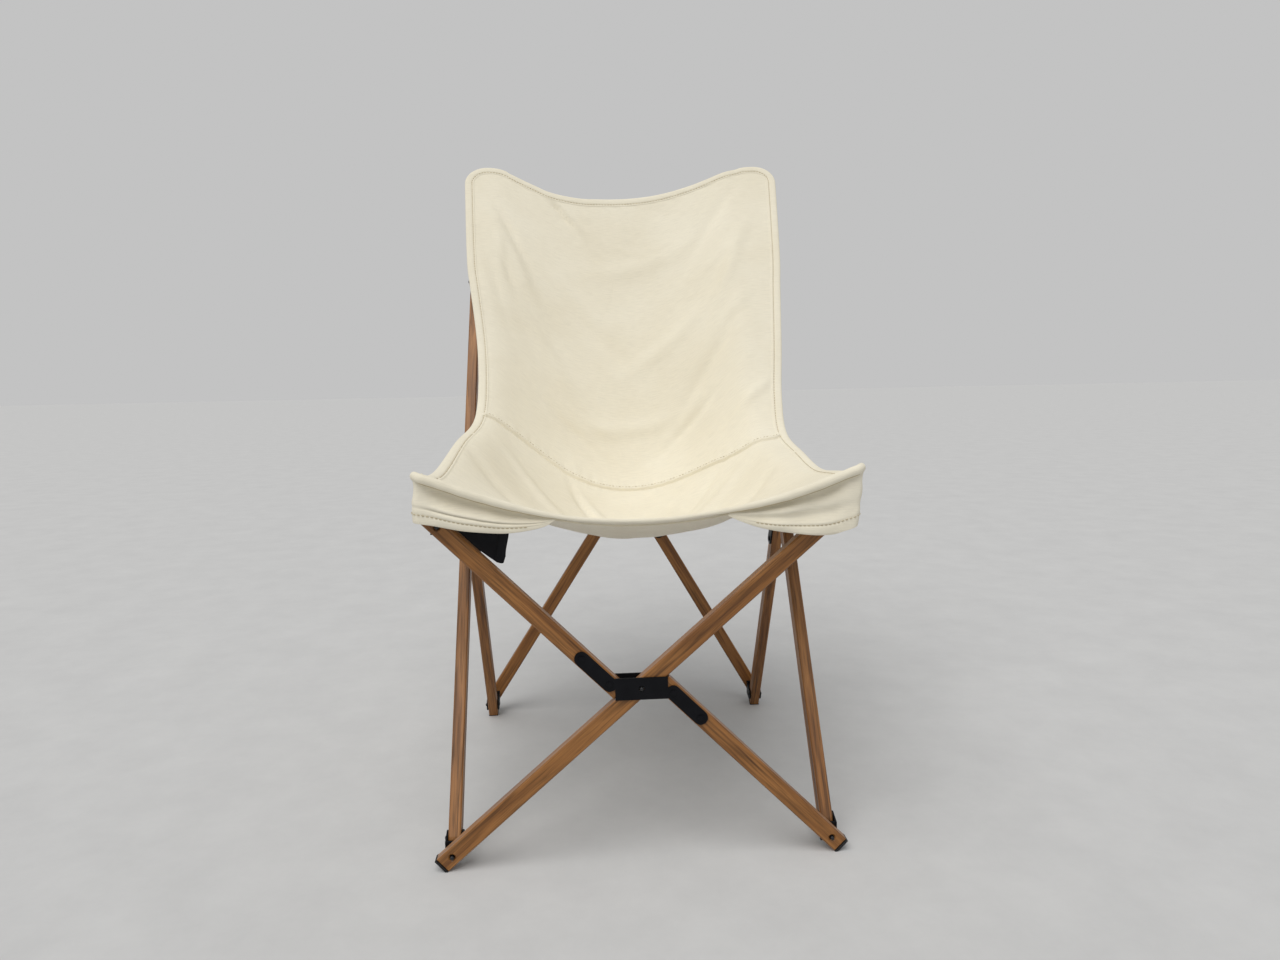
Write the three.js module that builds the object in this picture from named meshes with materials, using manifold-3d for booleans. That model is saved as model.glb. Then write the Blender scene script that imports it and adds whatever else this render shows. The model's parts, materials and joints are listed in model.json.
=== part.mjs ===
// Folding butterfly sling chair: a ring of four scissor frames in flat rods that carries a canvas sling.
// Millimetres, +Z up, +Y towards the back, +X to the right as seen from the front.

import * as THREE from 'three';
import { mergeVertices } from 'three/addons/utils/BufferGeometryUtils.js';
import Module from 'manifold-3d';

// Rods and the running clearance between pieces
const ROD_WIDTH = 20;
const ROD_THICK = 15;
const ROD_EDGE = 1.5;
const FIT = 0.3;

// Front scissor: pins at the feet and at the tops
const FRONT_HALF_WIDTH = 225;
const FRONT_FOOT_PIN_Z = 18;
const FRONT_TOP_PIN_Z = 408;
const FRONT_TIP_LENGTH = 20;

// Side frames: pins as seen from the side
const SIDE_FOOT_PIN_Y = 24;
const SIDE_FOOT_PIN_Z = 26;
const ARM_PIN_Y = 40;
const REAR_PLANE_Y = 474;
const REAR_FOOT_PIN_Z = 20;
const REAR_TOP_PIN_Z = 727;
const SIDE_TIP_Z = 870;

// Rear scissor: its rods lie behind the side frames, and its pins between their rear pins
const REAR_ROD_BEHIND = 26;
const REAR_FOOT_RISE = 6;
const REAR_TOP_DROP = 8;

// Split rods, plates and rivets
const SPLIT_OFFSET = 21.5;
const FRONT_SPLIT_GAP = 14;
const REAR_SPLIT_GAP = 30;
const STRUT_GAP = 10;
const ARM_GAP = 24;
const PLATE_THICK = 2;
const PLATE_ARM_WIDTH = 17;
const PLATE_WAIST = 26;
const HUB_WIDTH = 30;
const RIVET_INSET = 16.5;
const RIVET_PITCH = 44.5;
const RIVET_RADIUS = 2.2;
const RIVET_HEAD_RADIUS = 3.6;
const RIVET_HEAD = 1.4;

// Pins and corner brackets
const PIN_RADIUS = 3;
const PIN_HEAD_RADIUS = 4.6;
const PIN_HEAD = 2.2;
const PIN_TAIL = 1.4;
const BRACKET_THICK = 2;
const BRACKET_HEIGHT = 22;
const EAR_RADIUS = 9;

// End caps, and how deep a foot cap is worn flat
const CAP_THICK = 3;
const FOOT_TRIM = 1.5;

// Sling cloth: its middle line and side edges, set from the frame's pins, planes and tips
const CLOTH = 2.4;
const CLOTH_GAP = 0.9;
const FRONT_EDGE_AHEAD = 22;
const FRONT_EDGE_MID_RISE = 7;
const FRONT_TIP_RISE = 64;
const SEAT_LOW_Y = 170;
const SEAT_LOW_DROP = 48;
const SEAM_MID_AHEAD = 139;
const SEAM_MID_RISE = 2;
const SEAM_EDGE_AHEAD = 182;
const SEAM_EDGE_RISE = 100;
const SEAM_EDGE_INSET = 1;
const BACK_MID_AHEAD = 32;
const BACK_MID_DROP = 122;
const BACK_EDGE_PAST_PIN = 10;
const BACK_EDGE_LIFT = 8;
const BACK_EDGE_OVERHANG = 22;
const BACK_FLAT_INSET = 35.4;
const TOP_EDGE_BEHIND = 101;
const TOP_EDGE_MID_RISE = 6;
const TOP_CORNER_PAST_TIP = 55;
const TOP_CORNER_LIFT = 1;
const TOP_CORNER_OVERHANG = 37;
const TOP_CORNER_ROUND = 26;
const TOP_CORNER_ACROSS_SHARE = 0.8;
const TOP_CORNER_ALONG_SHARE = 0.85;
const SEAM_SHARE = 0.4;

// Pockets and the black pouch
const POCKET_LENGTH = 120;
const POCKET_BACK_Y = 45;
const POCKET_CORNER_SHARE = 0.7;
const POCKET_HEM_INNER_RISE = 1;
const POCKET_HEM_LOW_DROP = 5;
const POCKET_HEM_OUTER_RISE = 9;
const POCKET_HEM_LOW_SHARE = 0.35;
const TOP_POCKET_WIDTH = 75;
const TOP_POCKET_FROM_SHARE = 0.78;
const TOP_POCKET_CLOSE_SHARE = 0.95;
const POUCH_INSET = 17;
const POUCH_WIDTH = 61;
const POUCH_Y = 30;
const POUCH_LOW_DROP = 44;
const POUCH_HIGH_DROP = 12;
const POUCH_GAP = 0.4;

// How finely round and curved shapes are drawn
const WELD = 1e-3;
const SLOPE_STEP = 1e-3;
const ARC_STEPS = 5;
const ROUND_STEPS = 10;
const SLING_STEPS_ACROSS = 20;
const SEAT_STEPS = 10;
const BACK_STEPS = 14;
const FRONT_POCKET_STEPS = 20;
const TOP_POCKET_STEPS_ACROSS = 12;
const TOP_POCKET_STEPS = 8;
const POUCH_STEPS = 6;
const WALL_STEPS = 2;
const HALVINGS = 30;

const WOOD = { color: 0x96643a, roughness: 0.45, metalness: 0 };
const STEEL = { color: 0x1c1c20, roughness: 0.5, metalness: 0.6 };
const RUBBER = { color: 0x17171a, roughness: 0.8, metalness: 0 };
const CANVAS = { color: 0xeee4c8, roughness: 0.95, metalness: 0 };
const BLACK_CLOTH = { color: 0x1f2126, roughness: 0.9, metalness: 0 };

const wasm = await Module();
wasm.setup();
const group = new THREE.Group();
const half = ROD_THICK / 2;
const rodEnd = ROD_WIDTH / 2;
const flat = (x, y) => new THREE.Vector2(x, y);
const point = (x, y, z) => new THREE.Vector3(x, y, z);
const RIGHT = point(1, 0, 0);
const BACK = point(0, 1, 0);
const UP = point(0, 0, 1);
const LEFT = RIGHT.clone().negate();
const AHEAD = BACK.clone().negate();
const { clamp, lerp, smoothstep: ease } = THREE.MathUtils;

// Booleans on closed geometries
function toSolid(geometry) {
  const plain = geometry.clone();
  plain.deleteAttribute('normal');
  plain.deleteAttribute('uv');
  const merged = mergeVertices(plain, WELD);
  const vertProperties = new Float32Array(merged.attributes.position.array);
  const triVerts = new Uint32Array(merged.index.array);
  return new wasm.Manifold(new wasm.Mesh({ numProp: 3, vertProperties, triVerts }));
}

function toGeometry(solid) {
  const mesh = solid.getMesh();
  const geometry = new THREE.BufferGeometry();
  geometry.setAttribute('position', new THREE.BufferAttribute(mesh.vertProperties, 3));
  geometry.setIndex(new THREE.BufferAttribute(mesh.triVerts, 1));
  return geometry;
}

const joined = (parts) => toGeometry(parts.map(toSolid).reduce((a, b) => a.add(b)));
const cut = (body, tools) => toGeometry(tools.map(toSolid).reduce((a, b) => a.subtract(b), toSolid(body)));
const shared = (a, b) => toGeometry(toSolid(a).intersect(toSolid(b)));

function addMesh(name, geometry, finish, matrix = new THREE.Matrix4()) {
  const mesh = new THREE.Mesh(geometry, new THREE.MeshStandardMaterial(finish));
  mesh.name = name;
  mesh.applyMatrix4(matrix);
  group.add(mesh);
}

// A frame at an origin whose local X and Y axes are given
function frameAt(origin, localX, localY) {
  const localZ = localX.clone().cross(localY);
  return new THREE.Matrix4().makeBasis(localX, localY, localZ).setPosition(origin);
}

const turned = (angle) => new THREE.Matrix4().makeRotationZ(angle);
const moved = (p) => new THREE.Matrix4().makeTranslation(p.x, p.y, 0);
const inFrame = (frame, p) => point(p.x, p.y, 0).applyMatrix4(frame);

// Bars and plate arms: length along local X, width along local Y
function barOutline(from, to, width, roundFrom, roundTo) {
  const h = width / 2;
  const first = roundFrom ? from + h : from;
  const last = roundTo ? to - h : to;
  const shape = new THREE.Shape();
  shape.moveTo(first, -h);
  shape.lineTo(last, -h);
  if (roundTo) shape.absarc(last, 0, h, -Math.PI / 2, Math.PI / 2, false);
  else shape.lineTo(last, h);
  shape.lineTo(first, h);
  if (roundFrom) shape.absarc(first, 0, h, Math.PI / 2, (3 * Math.PI) / 2, false);
  return shape;
}

const pinHole = (at) => ({ at, radius: PIN_RADIUS + FIT });
const rivetHole = (at) => ({ at, radius: RIVET_RADIUS + FIT });

function barGeometry(from, to, holes, { roundFrom = false, roundTo = false } = {}) {
  const outline = barOutline(from, to, ROD_WIDTH, roundFrom, roundTo);
  for (const { at, radius } of holes) {
    const path = new THREE.Path();
    path.absarc(at, 0, radius, 0, 2 * Math.PI, true);
    outline.holes.push(path);
  }
  const depth = ROD_THICK - 2 * ROD_EDGE;
  const geometry = new THREE.ExtrudeGeometry(outline, {
    depth,
    curveSegments: ARC_STEPS,
    bevelThickness: ROD_EDGE,
    bevelSize: ROD_EDGE,
    bevelOffset: -ROD_EDGE,
    bevelSegments: 1,
  });
  return geometry.translate(0, 0, -depth / 2);
}

// A bar through point a in a frame's plane, its length running along a direction
function addBar(name, frame, a, direction, geometry) {
  const place = moved(a).multiply(turned(direction.angle()));
  addMesh(name, geometry, WOOD, frame.clone().multiply(place));
}

function plateArm(a, b, width) {
  const outline = barOutline(-width / 2, a.distanceTo(b) + width / 2, width, true, true);
  const flatCut = { depth: PLATE_THICK, bevelEnabled: false, curveSegments: ARC_STEPS };
  const geometry = new THREE.ExtrudeGeometry(outline, flatCut);
  return geometry.applyMatrix4(moved(a).multiply(turned(b.clone().sub(a).angle())));
}

// A round stub along local Z, for rivets, heads and drills
function stub(p, radius, from, to) {
  const geometry = new THREE.CylinderGeometry(radius, radius, to - from, ROUND_STEPS);
  return geometry.rotateX(Math.PI / 2).translate(p.x, p.y, (from + to) / 2);
}

// A headed pin along local Z: its head lies below zero and its shank runs up to the tail
function pinGeometry(grip) {
  const profile = [
    flat(0, -PIN_HEAD),
    flat(PIN_HEAD_RADIUS / 2, -PIN_HEAD),
    flat(PIN_HEAD_RADIUS, -PIN_HEAD / 3),
    flat(PIN_HEAD_RADIUS, 0),
    flat(PIN_RADIUS, 0),
    flat(PIN_RADIUS, grip),
    flat(PIN_HEAD_RADIUS, grip),
    flat(PIN_HEAD_RADIUS / 2, grip + PIN_TAIL),
    flat(0, grip + PIN_TAIL),
  ];
  return new THREE.LatheGeometry(profile, ROUND_STEPS).rotateX(Math.PI / 2);
}

// A stud: a head below zero and a plain shank that ends inside the rod
function studGeometry(depth) {
  const profile = [
    flat(0, -PIN_HEAD),
    flat(PIN_HEAD_RADIUS / 2, -PIN_HEAD),
    flat(PIN_HEAD_RADIUS, -PIN_HEAD / 3),
    flat(PIN_HEAD_RADIUS, 0),
    flat(PIN_RADIUS, 0),
    flat(PIN_RADIUS, depth),
    flat(0, depth),
  ];
  return new THREE.LatheGeometry(profile, ROUND_STEPS).rotateX(Math.PI / 2);
}

function addAlong(name, geometry, start, direction) {
  const turn = new THREE.Quaternion().setFromUnitVectors(UP, direction);
  const place = new THREE.Matrix4().makeRotationFromQuaternion(turn).setPosition(start);
  addMesh(name, geometry, STEEL, place);
}

const addPin = (name, start, direction, grip) => addAlong(name, pinGeometry(grip), start, direction);

// A pair of plates on the two faces of the rods, with the rivets that go through the rods
function addPlates(names, frame, arms, rivets, openPivot) {
  const inner = half + FIT;
  const outer = inner + PLATE_THICK;
  const centre = flat(0, 0);
  const heads = openPivot ? [...rivets, centre] : rivets;
  const drill = openPivot ? [] : [stub(centre, PIN_RADIUS + FIT, -2 * outer, 2 * outer)];
  const near = [
    joined(arms).translate(0, 0, inner),
    ...heads.map((p) => stub(p, RIVET_HEAD_RADIUS, outer - PLATE_THICK / 2, outer + RIVET_HEAD)),
    ...rivets.map((p) => stub(p, RIVET_RADIUS, -half, outer)),
  ];
  const far = [
    joined(arms).translate(0, 0, -outer),
    ...heads.map((p) => stub(p, RIVET_HEAD_RADIUS, -outer - RIVET_HEAD, PLATE_THICK / 2 - outer)),
  ];
  addMesh(names[0], cut(joined(near), drill), STEEL, frame);
  addMesh(names[1], cut(joined(far), drill), STEEL, frame);
}

// The two offset halves of a split rod: their common direction and the points abreast of the pivot
function splitRod(foot, top) {
  const pivot = foot.clone().lerp(top, 0.5);
  const chord = top.clone().sub(foot);
  const swing = Math.asin((2 * SPLIT_OFFSET) / chord.length());
  const along = chord.clone().rotateAround(flat(0, 0), -swing).normalize();
  const aside = flat(-along.y, along.x).multiplyScalar(SPLIT_OFFSET);
  return { pivot, along, upper: pivot.clone().add(aside), lower: pivot.clone().sub(aside) };
}

// One scissor: a straight rod and a split rod, joined by a pair of plates
function addScissor(prefix, frame, pins, gap, rooms, openPivot) {
  const { footL, footR, topL, topR } = pins;
  const reach = footL.distanceTo(topR);
  const straightAlong = topR.clone().sub(footL).normalize();
  const ends = { roundFrom: openPivot, roundTo: openPivot };
  const pivotPin = openPivot ? [] : [pinHole(reach / 2)];
  const straightHoles = [pinHole(0), ...pivotPin, pinHole(reach)];
  addBar(`${prefix}_straight_rod`, frame, footL, straightAlong,
    barGeometry(-rooms.straightFoot, reach + rooms.top, straightHoles, ends));
  const split = splitRod(footR, topL);
  const arm = split.upper.distanceTo(topL);
  const near = gap + RIVET_INSET;
  const far = near + RIVET_PITCH;
  const rivetHoles = [rivetHole(near), rivetHole(far)];
  addBar(`${prefix}_split_rod_upper`, frame, split.upper, split.along,
    barGeometry(gap, arm + rooms.top, [...rivetHoles, pinHole(arm)], { roundTo: openPivot }));
  addBar(`${prefix}_split_rod_lower`, frame, split.lower, split.along.clone().negate(),
    barGeometry(gap, arm + rooms.splitFoot, [...rivetHoles, pinHole(arm)], { roundTo: openPivot }));
  const upperAt = (t) => split.upper.clone().addScaledVector(split.along, t).sub(split.pivot);
  const lowerAt = (t) => upperAt(t).negate();
  const level = new THREE.BoxGeometry(2 * near, PLATE_WAIST, PLATE_THICK).translate(0, 0, PLATE_THICK / 2);
  const slanting = plateArm(upperAt(near), lowerAt(near), PLATE_WAIST);
  const arms = [openPivot ? slanting : level, plateArm(upperAt(near), upperAt(far), PLATE_ARM_WIDTH),
    plateArm(lowerAt(near), lowerAt(far), PLATE_ARM_WIDTH)];
  const rivets = [upperAt(near), upperAt(far), lowerAt(near), lowerAt(far)];
  const plateFrame = frame.clone().multiply(moved(split.pivot));
  addPlates([`${prefix}_plate_front`, `${prefix}_plate_back`], plateFrame, arms, rivets, openPivot);
  return { straightAlong, splitAlong: split.along, pivot: split.pivot };
}

// A square end cap past a pin; a foot cap is trimmed flat where it meets the ground
function addCap(name, frame, pin, direction, start, isFoot) {
  const outline = barOutline(start + FIT, start + CAP_THICK, ROD_WIDTH, false, false);
  const body = new THREE.ExtrudeGeometry(outline, { depth: ROD_THICK, bevelEnabled: false });
  body.translate(0, 0, -half);
  body.applyMatrix4(frame.clone().multiply(moved(pin)).multiply(turned(direction.angle())));
  const below = new THREE.BoxGeometry(4 * ROD_WIDTH, 4 * ROD_WIDTH, ROD_WIDTH);
  const centre = inFrame(frame, pin);
  below.translate(centre.x, centre.y, -rodEnd);
  addMesh(name, isFoot ? cut(body, [below]) : body, RUBBER);
}

// How far a leaning rod runs past its foot pin, up to the cap, so that the cap dips by the trim
function footRoom(pinZ, direction) {
  const { x, y } = direction.clone().normalize();
  return (pinZ + FOOT_TRIM - rodEnd * Math.abs(x)) / Math.abs(y) - CAP_THICK;
}

// Corner bracket: a base on one rod and two ears round the end of the next rod
// Local X runs across the ears, local Y from the base out to the ear pin, local Z along the base
function bracketGeometry(earY, earZ, { openEars = false, openBase = false } = {}) {
  const inside = half + 2 * FIT;
  const outside = inside + BRACKET_THICK;
  const reach = earY + EAR_RADIUS;
  const tall = 4 * BRACKET_HEIGHT;
  const plan = new THREE.Shape([
    flat(-outside, 0), flat(outside, 0), flat(outside, reach), flat(inside, reach),
    flat(inside, BRACKET_THICK), flat(-inside, BRACKET_THICK), flat(-inside, reach), flat(-outside, reach),
  ]);
  const walls = new THREE.ExtrudeGeometry(plan, { depth: tall, bevelEnabled: false });
  walls.translate(0, 0, -tall / 2);
  const side = new THREE.Shape();
  side.moveTo(0, -BRACKET_HEIGHT / 2);
  side.lineTo(earY, earZ - EAR_RADIUS);
  side.absarc(earY, earZ, EAR_RADIUS, -Math.PI / 2, Math.PI / 2, false);
  side.lineTo(0, BRACKET_HEIGHT / 2);
  const flatCut = { depth: tall, bevelEnabled: false, curveSegments: ARC_STEPS };
  const slab = new THREE.ExtrudeGeometry(side, flatCut);
  slab.translate(0, 0, -tall / 2).applyMatrix4(new THREE.Matrix4().makeBasis(BACK, UP, RIGHT));
  const body = shared(walls, slab);
  const along = (radius, from, to) => stub(flat(0, 0), radius, from, to);
  const baseDrill = openBase ? [] : [along(PIN_RADIUS + FIT, -tall, tall).rotateX(Math.PI / 2)];
  if (openEars) {
    const head = () => along(PIN_HEAD_RADIUS, inside + BRACKET_THICK / 2, outside + PIN_HEAD);
    const heads = [-1, 1].map((way) => head().rotateY((way * Math.PI) / 2).translate(0, earY, earZ));
    return joined([cut(body, baseDrill), ...heads]);
  }
  const earDrill = along(PIN_RADIUS + FIT, -tall, tall).rotateY(Math.PI / 2).translate(0, earY, earZ);
  return cut(body, [...baseDrill, earDrill]);
}

// Grips: a pin through a rod and a base, through two ears, or through a pair of plates
const baseGrip = ROD_THICK + BRACKET_THICK + 3 * FIT;
const earGrip = 2 * (half + BRACKET_THICK + 3 * FIT);
const plateGrip = 2 * (half + PLATE_THICK + 2 * FIT);
const rodHead = half + FIT;

// Front scissor
const frontFrame = frameAt(point(0, 0, 0), RIGHT, UP);
const frontPins = {
  footL: flat(-FRONT_HALF_WIDTH, FRONT_FOOT_PIN_Z),
  footR: flat(FRONT_HALF_WIDTH, FRONT_FOOT_PIN_Z),
  topL: flat(-FRONT_HALF_WIDTH, FRONT_TOP_PIN_Z),
  topR: flat(FRONT_HALF_WIDTH, FRONT_TOP_PIN_Z),
};
const straightLine = frontPins.topR.clone().sub(frontPins.footL);
const splitLine = splitRod(frontPins.footR, frontPins.topL).along;
const frontRooms = {
  straightFoot: footRoom(FRONT_FOOT_PIN_Z, straightLine),
  splitFoot: footRoom(FRONT_FOOT_PIN_Z, splitLine),
  top: FRONT_TIP_LENGTH - CAP_THICK,
};
const front = addScissor('front', frontFrame, frontPins, FRONT_SPLIT_GAP, frontRooms, false);
addPin('front_pivot_pin', point(0, -plateGrip / 2, front.pivot.y), BACK, plateGrip);
const straightDown = front.straightAlong.clone().negate();
const splitDown = front.splitAlong.clone().negate();
addCap('front_foot_cap_left', frontFrame, frontPins.footL, straightDown, frontRooms.straightFoot, true);
addCap('front_foot_cap_right', frontFrame, frontPins.footR, splitDown, frontRooms.splitFoot, true);
addCap('front_tip_cap_left', frontFrame, frontPins.topL, front.splitAlong, frontRooms.top, false);
addCap('front_tip_cap_right', frontFrame, frontPins.topR, front.straightAlong, frontRooms.top, false);

// Rear scissor
const rearRodY = REAR_PLANE_Y + REAR_ROD_BEHIND;
const rearFootZ = REAR_FOOT_PIN_Z + REAR_FOOT_RISE;
const rearTopZ = REAR_TOP_PIN_Z - REAR_TOP_DROP;
const rearFrame = frameAt(point(0, rearRodY, 0), RIGHT, UP);
const rearPins = {
  footL: flat(-FRONT_HALF_WIDTH, rearFootZ),
  footR: flat(FRONT_HALF_WIDTH, rearFootZ),
  topL: flat(-FRONT_HALF_WIDTH, rearTopZ),
  topR: flat(FRONT_HALF_WIDTH, rearTopZ),
};
const rearRooms = { straightFoot: rodEnd, splitFoot: rodEnd, top: rodEnd };
addScissor('rear', rearFrame, rearPins, REAR_SPLIT_GAP, rearRooms, true);

// Side frames: a long rod, a strut to the rear foot and an arm to the front corner, round one elbow
const sideFoot = flat(SIDE_FOOT_PIN_Y, SIDE_FOOT_PIN_Z);
const sideTop = flat(REAR_PLANE_Y, REAR_TOP_PIN_Z);
const elbow = sideFoot.clone().lerp(sideTop, 0.5);
const longAlong = sideTop.clone().sub(sideFoot).normalize();
const longReach = (SIDE_TIP_Z - SIDE_FOOT_PIN_Z) / longAlong.y;
const rearFoot = flat(REAR_PLANE_Y, REAR_FOOT_PIN_Z);
const strutChord = rearFoot.clone().sub(elbow);
const strutSwing = Math.asin(SPLIT_OFFSET / strutChord.length());
const strutAlong = strutChord.clone().rotateAround(flat(0, 0), -strutSwing).normalize();
const strutReach = strutChord.length() * Math.cos(strutSwing);
const strutStart = rearFoot.clone().addScaledVector(strutAlong, -strutReach);
const armEnd = flat(ARM_PIN_Y, FRONT_TOP_PIN_Z);
const armAlong = armEnd.clone().sub(elbow).normalize();
const armReach = armEnd.distanceTo(elbow);

function addSide(side, label) {
  const planeX = side * FRONT_HALF_WIDTH;
  const inward = RIGHT.clone().multiplyScalar(-side);
  const frame = frameAt(point(planeX, 0, 0), BACK, UP);
  const at = (p, out) => point(planeX + side * out, p.x, p.y);

  // Rods
  const longHoles = [pinHole(0), pinHole(elbow.distanceTo(sideFoot)), pinHole(sideTop.distanceTo(sideFoot))];
  addBar(`${label}_long_rod`, frame, sideFoot, longAlong,
    barGeometry(-rodEnd, longReach - CAP_THICK, longHoles, { roundFrom: true }));
  addCap(`${label}_long_rod_tip_cap`, frame, sideFoot, longAlong, longReach - CAP_THICK, false);
  const strutRoom = footRoom(REAR_FOOT_PIN_Z, strutAlong);
  const strutRivets = [STRUT_GAP + RIVET_INSET, STRUT_GAP + RIVET_INSET + RIVET_PITCH];
  addBar(`${label}_strut`, frame, strutStart, strutAlong,
    barGeometry(STRUT_GAP, strutReach + strutRoom, [...strutRivets.map(rivetHole), pinHole(strutReach)]));
  addCap(`${label}_strut_foot_cap`, frame, rearFoot, strutAlong, strutRoom, true);
  const armRivets = [ARM_GAP + RIVET_INSET, ARM_GAP + RIVET_INSET + RIVET_PITCH];
  addBar(`${label}_arm`, frame, elbow, armAlong,
    barGeometry(ARM_GAP, armReach + rodEnd, armRivets.map(rivetHole), { roundTo: true }));

  // Elbow plates and pin
  const strutAt = (t) => strutStart.clone().addScaledVector(strutAlong, t).sub(elbow);
  const armAt = (t) => armAlong.clone().multiplyScalar(t);
  const arms = [
    plateArm(flat(0, 0), strutAt(strutRivets[0]), HUB_WIDTH),
    plateArm(strutAt(strutRivets[0]), strutAt(strutRivets[1]), PLATE_ARM_WIDTH),
    plateArm(flat(0, 0), armAt(armRivets[1]), PLATE_ARM_WIDTH),
  ];
  const rivets = [...strutRivets.map(strutAt), ...armRivets.map(armAt)];
  const names = [`${label}_elbow_plate_inner`, `${label}_elbow_plate_outer`];
  const plateNames = side > 0 ? names.toReversed() : names;
  addPlates(plateNames, frame.clone().multiply(moved(elbow)), arms, rivets, false);
  addPin(`${label}_elbow_pin`, at(elbow, plateGrip / 2), inward, plateGrip);

  // Front corner brackets and pins
  const frontBase = point(planeX, rodHead, FRONT_FOOT_PIN_Z);
  const footBracket = bracketGeometry(SIDE_FOOT_PIN_Y - rodHead, SIDE_FOOT_PIN_Z - FRONT_FOOT_PIN_Z);
  addMesh(`front_foot_bracket_${label}`, footBracket, STEEL, frameAt(frontBase, RIGHT, BACK));
  addPin(`front_foot_pin_${label}`, point(planeX, -rodHead, FRONT_FOOT_PIN_Z), BACK, baseGrip);
  addPin(`front_foot_cross_pin_${label}`, at(sideFoot, earGrip / 2), inward, earGrip);
  const topBase = point(planeX, rodHead, FRONT_TOP_PIN_Z);
  const openBracket = bracketGeometry(ARM_PIN_Y - rodHead, 0, { openEars: true });
  addMesh(`front_top_bracket_${label}`, openBracket, STEEL, frameAt(topBase, RIGHT, BACK));
  addPin(`front_top_pin_${label}`, point(planeX, -rodHead, FRONT_TOP_PIN_Z), BACK, baseGrip);

  // Rear corner brackets and pins
  const rearEar = REAR_ROD_BEHIND - rodHead;
  const rearBase = (z) => frameAt(point(planeX, rearRodY - rodHead, z), LEFT, AHEAD);
  const rearStart = (z) => point(planeX, rearRodY + rodHead, z);
  const rearFootBracket = bracketGeometry(rearEar, -REAR_FOOT_RISE);
  addMesh(`rear_foot_bracket_${label}`, rearFootBracket, STEEL, rearBase(rearFootZ));
  addPin(`rear_foot_pin_${label}`, rearStart(rearFootZ), AHEAD, baseGrip);
  addPin(`rear_foot_cross_pin_${label}`, at(rearFoot, earGrip / 2), inward, earGrip);
  const topBracket = bracketGeometry(rearEar, REAR_TOP_DROP, { openBase: true });
  addMesh(`rear_top_bracket_${label}`, topBracket, STEEL, rearBase(rearTopZ));
  addPin(`rear_top_pin_${label}`, at(sideTop, earGrip / 2), inward, earGrip);
  addAlong(`rear_top_stud_${label}`, studGeometry(ROD_THICK), rearStart(rearTopZ), AHEAD);
}

addSide(-1, 'left');
addSide(1, 'right');

// A closed thin sheet over a surface given by a function of two shares from 0 to 1
function sheetGeometry(surface, stepsU, stepsV, thick) {
  const front = [];
  const back = [];
  for (let j = 0; j <= stepsV; j++) {
    for (let i = 0; i <= stepsU; i++) {
      const u = i / stepsU;
      const v = j / stepsV;
      const du = surface(u + SLOPE_STEP, v).sub(surface(u - SLOPE_STEP, v));
      const dv = surface(u, v + SLOPE_STEP).sub(surface(u, v - SLOPE_STEP));
      const normal = du.cross(dv).normalize();
      const p = surface(u, v);
      front.push(...p);
      back.push(...p.clone().addScaledVector(normal, -thick));
    }
  }
  const row = stepsU + 1;
  const count = row * (stepsV + 1);
  const index = [];
  const quad = (a, b, c, d) => index.push(a, b, c, a, c, d);
  for (let j = 0; j < stepsV; j++) {
    for (let i = 0; i < stepsU; i++) {
      const a = j * row + i;
      quad(a, a + 1, a + row + 1, a + row);
      quad(count + a, count + a + row, count + a + row + 1, count + a + 1);
    }
  }
  const rim = [];
  for (let i = 0; i < stepsU; i++) rim.push(i);
  for (let j = 0; j < stepsV; j++) rim.push(j * row + stepsU);
  for (let i = stepsU; i > 0; i--) rim.push(stepsV * row + i);
  for (let j = stepsV; j > 0; j--) rim.push(j * row);
  rim.forEach((a, k) => {
    const b = rim[(k + 1) % rim.length];
    quad(b, a, count + a, count + b);
  });
  const geometry = new THREE.BufferGeometry();
  geometry.setAttribute('position', new THREE.BufferAttribute(new Float32Array([...front, ...back]), 3));
  geometry.setIndex(index);
  return geometry;
}

// Sling: rows run from the middle line out to the side edges, and lie flat over the long rods
const middleLine = new THREE.CatmullRomCurve3([
  point(0, -FRONT_EDGE_AHEAD, FRONT_TOP_PIN_Z + FRONT_EDGE_MID_RISE),
  point(0, SEAT_LOW_Y, FRONT_TOP_PIN_Z - SEAT_LOW_DROP),
  point(0, REAR_PLANE_Y - SEAM_MID_AHEAD, FRONT_TOP_PIN_Z + SEAM_MID_RISE),
  point(0, REAR_PLANE_Y - BACK_MID_AHEAD, REAR_TOP_PIN_Z - BACK_MID_DROP),
  point(0, REAR_PLANE_Y + TOP_EDGE_BEHIND, SIDE_TIP_Z + TOP_EDGE_MID_RISE),
]);
const tipCornerX = ({ x, y }) => FRONT_TIP_LENGTH * Math.abs(x) + rodEnd * Math.abs(y);
const tipReach = Math.max(tipCornerX(front.straightAlong), tipCornerX(front.splitAlong));
const frontTipHalf = FRONT_HALF_WIDTH + tipReach + FIT - CLOTH_GAP;
const overLongRod = (overhang, reach, lift) => {
  const off = rodEnd + CLOTH + lift;
  const p = sideFoot.clone().addScaledVector(longAlong, reach);
  return point(FRONT_HALF_WIDTH + overhang, p.x - off * longAlong.y, p.y + off * longAlong.x);
};
const sideLine = new THREE.CatmullRomCurve3([
  point(frontTipHalf, -FRONT_EDGE_AHEAD, FRONT_TOP_PIN_Z + FRONT_TIP_RISE),
  point(
    FRONT_HALF_WIDTH - SEAM_EDGE_INSET,
    REAR_PLANE_Y - SEAM_EDGE_AHEAD,
    FRONT_TOP_PIN_Z + SEAM_EDGE_RISE,
  ),
  overLongRod(BACK_EDGE_OVERHANG, sideTop.distanceTo(sideFoot) + BACK_EDGE_PAST_PIN, BACK_EDGE_LIFT),
  overLongRod(TOP_CORNER_OVERHANG, longReach + TOP_CORNER_PAST_TIP, TOP_CORNER_LIFT),
]);
const flatBackX = FRONT_HALF_WIDTH - BACK_FLAT_INSET;

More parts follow.
